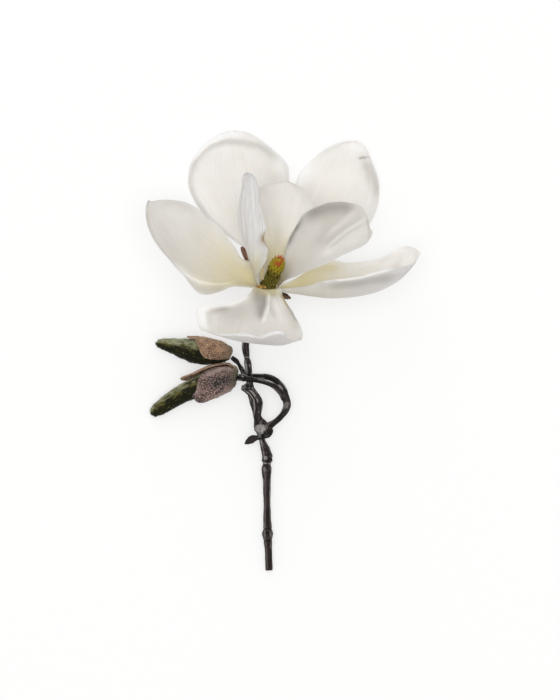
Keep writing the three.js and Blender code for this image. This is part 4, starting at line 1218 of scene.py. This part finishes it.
def bark_material():
    """Near black, streaked lengthwise, with grey ridges that are worn and also painted as highlights, a painted
    highlight on the sides that face the light, and the patches of PATCHES.
    """
    paint = Paint("bark", Roughness=0.75, Specular_IOR_Level=0.2)
    grain = paint.fact("grain", "Vector")
    streaks = paint.noise(paint.stretched(grain, 0.12, 1, 1), 1.4, 6.0, 0.65)
    fine = paint.noise(paint.stretched(grain, 0.25, 1, 1), 5.0, 5.0, 0.6)
    blotches = paint.noise(grain, 0.22, 3.0)
    color = paint.mix(paint.ramp(streaks, 0.44, 0.6), (0.003, 0.0025, 0.002), (0.070, 0.055, 0.050))
    color = paint.mix(paint.ramp(blotches, 0.58, 0.72, 0.0, 0.4), color, (0.11, 0.10, 0.098))
    # Grey ridges: worn, and also painted pale as highlights.
    color = paint.mix(paint.ramp(paint.fact("ridge"), 0.42, 0.7, 0.0, 0.85), color, (0.30, 0.28, 0.27))
    color = paint.mix(paint.ramp(fine, 0.62, 0.76, 0.0, 0.5), color, (0.22, 0.20, 0.19))
    # Painted highlight on the sides of the bark that face the light.
    painted_upper_highlight = paint.times(paint.fact("painted_upper_highlight"), paint.ramp(fine, 0.4, 0.6, 0.3, 1.0))
    color = paint.mix(painted_upper_highlight, color, (0.36, 0.34, 0.33))
    color = paint.mix(paint.times(paint.fact("rust"), 0.5), color, (0.032, 0.014, 0.010))
    # Patches of the bark's own colour together with painted highlights and painted shade.
    patches_and_painted_light = paint.fact("patches_and_painted_light")
    color = paint.mix(paint.times(patches_and_painted_light, -1.0), color, (0.004, 0.003, 0.003))
    color = paint.mix(patches_and_painted_light, color, (0.38, 0.35, 0.33))
    paint.bump((streaks, 0.5), (fine, 0.25))
    return paint.finished(color, paint.ramp(streaks, 0.3, 0.7, 0.55, 0.85))


def bud_material():
    """Olive down, dark in its depth, painted paler on the lit side and near black on the belly as painted
    shade.
    """
    paint = Paint("bud_down", Roughness=0.8, Specular_IOR_Level=0.15, Sheen_Weight=0.04, Sheen_Roughness=0.4)
    around = paint.fact("around", "Vector")
    broad = paint.noise(paint.stretched(around, 0.5, 1, 1), 0.35, 4.0)
    fleck = paint.noise(paint.stretched(around, 0.45, 1, 1), 1.3, 5.0, 0.6)
    color = paint.mix(paint.ramp(broad, 0.35, 0.65), (0.025, 0.024, 0.007), (0.09, 0.082, 0.022))
    color = paint.mix(paint.ramp(fleck, 0.53, 0.64, 0.0, 0.8), color, (0.26, 0.23, 0.07))
    color = paint.mix(paint.ramp(fleck, 0.47, 0.38, 0.0, 0.85), color, (0.012, 0.012, 0.005))
    hair = paint.fact("hair")
    color = paint.mix(paint.times(hair, 0.5), color, (0.16, 0.15, 0.06))
    # Painted highlight on the lit side, on hairs and skin alike.
    painted_lit_side = paint.times(paint.fact("painted_lit_side"), paint.ramp(fleck, 0.4, 0.58, 0.3, 1.0))
    color = paint.mix(painted_lit_side, color, paint.mix(hair, (0.36, 0.37, 0.22), (0.62, 0.62, 0.46)))
    # Painted shade on the belly and under a scale's loose edge.
    shaded = paint.fact("shaded")
    color = paint.mix(shaded, color, (0.010, 0.010, 0.003))
    yellow = paint.times(shaded, paint.ramp(fleck, 0.57, 0.66, 0.0, 0.55))
    color = paint.mix(yellow, color, (0.20, 0.18, 0.045))
    paint.bump((fleck, 0.4))
    return paint.finished(color)


def husk_material(name, dark, light, edge, foot):
    """A dry scale, mottled between two colours, with pale specks, a pale rim and a foot of its own colour."""
    paint = Paint(name, Roughness=0.85, Sheen_Weight=0.12, Sheen_Roughness=0.4)
    span, rise, outer = paint.fact("span"), paint.fact("rise"), paint.fact("outer")
    fan = paint.joined(span, paint.times(rise, 2.4), outer)
    speck = paint.noise(fan, 26.0, 1.0, 0.5)
    broad = paint.noise(fan, 3.5, 4.0)
    fleck = paint.noise(fan, 15.0, 5.0, 0.6)
    color = paint.mix(paint.ramp(broad, 0.42, 0.58), dark, light)
    color = paint.mix(paint.ramp(fleck, 0.52, 0.66, 0.0, 0.7), color, edge)
    color = paint.mix(paint.ramp(fleck, 0.47, 0.34, 0.0, 0.8), color, scaled(dark, 0.2))
    color = paint.mix(paint.ramp(speck, 0.58, 0.66, 0.0, 0.85), color, scaled(edge, 1.5))
    color = paint.mix(paint.ramp(rise, 0.45, 0.1, 0.0, 0.9), color, foot)
    color = paint.mix(paint.times(paint.fact("hair"), 0.4), color, edge)
    # Painted light: darker as painted shade, paler as a painted highlight.
    painted_light_and_tint = paint.fact("painted_light_and_tint")
    color = paint.mix(paint.times(painted_light_and_tint, -1.0), color, (0.01, 0.007, 0.005))
    color = paint.mix(painted_light_and_tint, color, edge)
    color = paint.mix(paint.ramp(speck, 0.6, 0.66, 0.0, 0.8), color, scaled(edge, 1.6))
    rim = paint.ramp(paint.times(outer, paint.math("SUBTRACT", 1.0, outer)), 0.1, 0.2)
    color = paint.mix(rim, color, edge)
    paint.bump((fleck, 1.0))
    return paint.finished(color)


def cone_material():
    """Green-brown carpels, yellower towards the top, with red styles."""
    paint = Paint("carpels", Roughness=0.6, Specular_IOR_Level=0.2)
    style, rise = paint.fact("style"), paint.fact("rise")
    mottle = paint.noise(paint.place(), 900.0, 4.0)
    color = paint.mix(paint.ramp(mottle, 0.35, 0.65), (0.06, 0.048, 0.004), (0.16, 0.125, 0.012))
    color = paint.mix(paint.ramp(rise, 0.6, 0.8), color, (0.38, 0.30, 0.02))
    color = paint.mix(paint.times(style, paint.ramp(rise, 0.88, 0.93)), color, (0.50, 0.10, 0.03))
    paint.bump((mottle, 0.2))
    return paint.finished(color)


def stamen_material():
    paint = Paint("stamens", Roughness=0.6, Specular_IOR_Level=0.2)
    mottle = paint.noise(paint.place(), 900.0, 4.0)
    color = paint.mix(paint.ramp(mottle, 0.3, 0.7), (0.075, 0.066, 0.008), (0.19, 0.165, 0.018))
    color = paint.mix(paint.ramp(paint.fact("rise"), 0.8, 1.0), color, (0.24, 0.19, 0.03))
    shed = paint.mix(paint.ramp(mottle, 0.4, 0.6), (0.26, 0.11, 0.03), (0.50, 0.33, 0.08))
    color = paint.mix(paint.fact("fallen"), color, shed)
    paint.bump((mottle, 0.15))
    return paint.finished(color)


# ------------------------------------------------------------------ floor, light and camera

FLOOR_REACH = 6                    # metres each way
FLOOR_DROP = 0.0002                # keeps the floor clear of what rests on it
FLOOR_GREY = (0.40, 0.40, 0.397)
FLOOR_GLOW = 0.58
SKY = 0.58
LAMPS = (                          # name, place and width in metres, and watts
    ("overhead", (0, 0, 2.6), 2.6, 36),
    ("key", (-0.5, 1.9, 1.2), 1.6, 7),
)
LIT_PLACE = (0, 0, 0.02)
CAMERA_HEIGHT = 1.9934
CAMERA_SHIFT = (-0.00105, 0.00035)   # metres from the middle of the branch
SENSOR_WIDTH = 36
FOCAL_LENGTH = 175


def make_floor():
    """A pale floor so wide that its edges stay out of sight."""
    mesh = bpy.data.meshes.new("floor")
    corners = [(x * FLOOR_REACH, y * FLOOR_REACH, 0) for x, y in ((-1, -1), (1, -1), (1, 1), (-1, 1))]
    mesh.from_pydata(corners, [], [(0, 1, 2, 3)])
    floor = bpy.data.objects.new("floor", mesh)
    floor.location.z = -FLOOR_DROP
    paint = Paint("floor", Roughness=0.9, Specular_IOR_Level=0.1, Emission_Strength=FLOOR_GLOW)
    paint.shader.inputs["Emission Color"].default_value = (1, 1, 0.995, 1)
    mesh.materials.append(paint.finished((*FLOOR_GREY, 1)))
    bpy.context.scene.collection.objects.link(floor)


def area_light(name, place, size, power):
    light = bpy.data.lights.new(name, "AREA")
    light.size = size
    light.energy = power
    lamp = bpy.data.objects.new(name, light)
    lamp.location = place
    way = Vector(LIT_PLACE) - Vector(place)
    lamp.rotation_euler = way.to_track_quat("-Z", "Y").to_euler()
    bpy.context.scene.collection.objects.link(lamp)


def make_light():
    world = bpy.data.worlds.new("studio")
    world.use_nodes = True
    background = world.node_tree.nodes["Background"]
    background.inputs["Color"].default_value = (1, 1, 1, 1)
    background.inputs["Strength"].default_value = SKY
    bpy.context.scene.world = world
    for lamp in LAMPS:
        area_light(*lamp)


def make_camera():
    """Straight down on the branch."""
    camera = bpy.data.cameras.new("camera")
    camera.sensor_width = SENSOR_WIDTH
    camera.lens = FOCAL_LENGTH
    middle = (cad_low + cad_high) / 2
    viewer = bpy.data.objects.new("camera", camera)
    viewer.location = (middle.x + CAMERA_SHIFT[0], middle.y + CAMERA_SHIFT[1], CAMERA_HEIGHT)
    bpy.context.scene.collection.objects.link(viewer)
    bpy.context.scene.camera = viewer


make_floor()
make_light()
make_camera()
bpy.context.scene.view_settings.view_transform = "Standard"

make_tepals(tepal_material())
tan, purple, bract = (husk_material(name, **colors) for name, colors in HUSK_COLORS.items())
make_bracts(bract)
make_cone(cone_material())
make_stamens(stamen_material())
make_wood(bark_material())
down = bud_material()
make_bud("flower_bud_upper", UPPER_BUD, down, seed=1, shade=0.6)
make_bud("flower_bud_lower", LOWER_BUD, down, seed=2, shade=0.78, rim=0.85)
make_scales({"tan": tan, "purple": purple})
make_leaf_bud(bark_material())
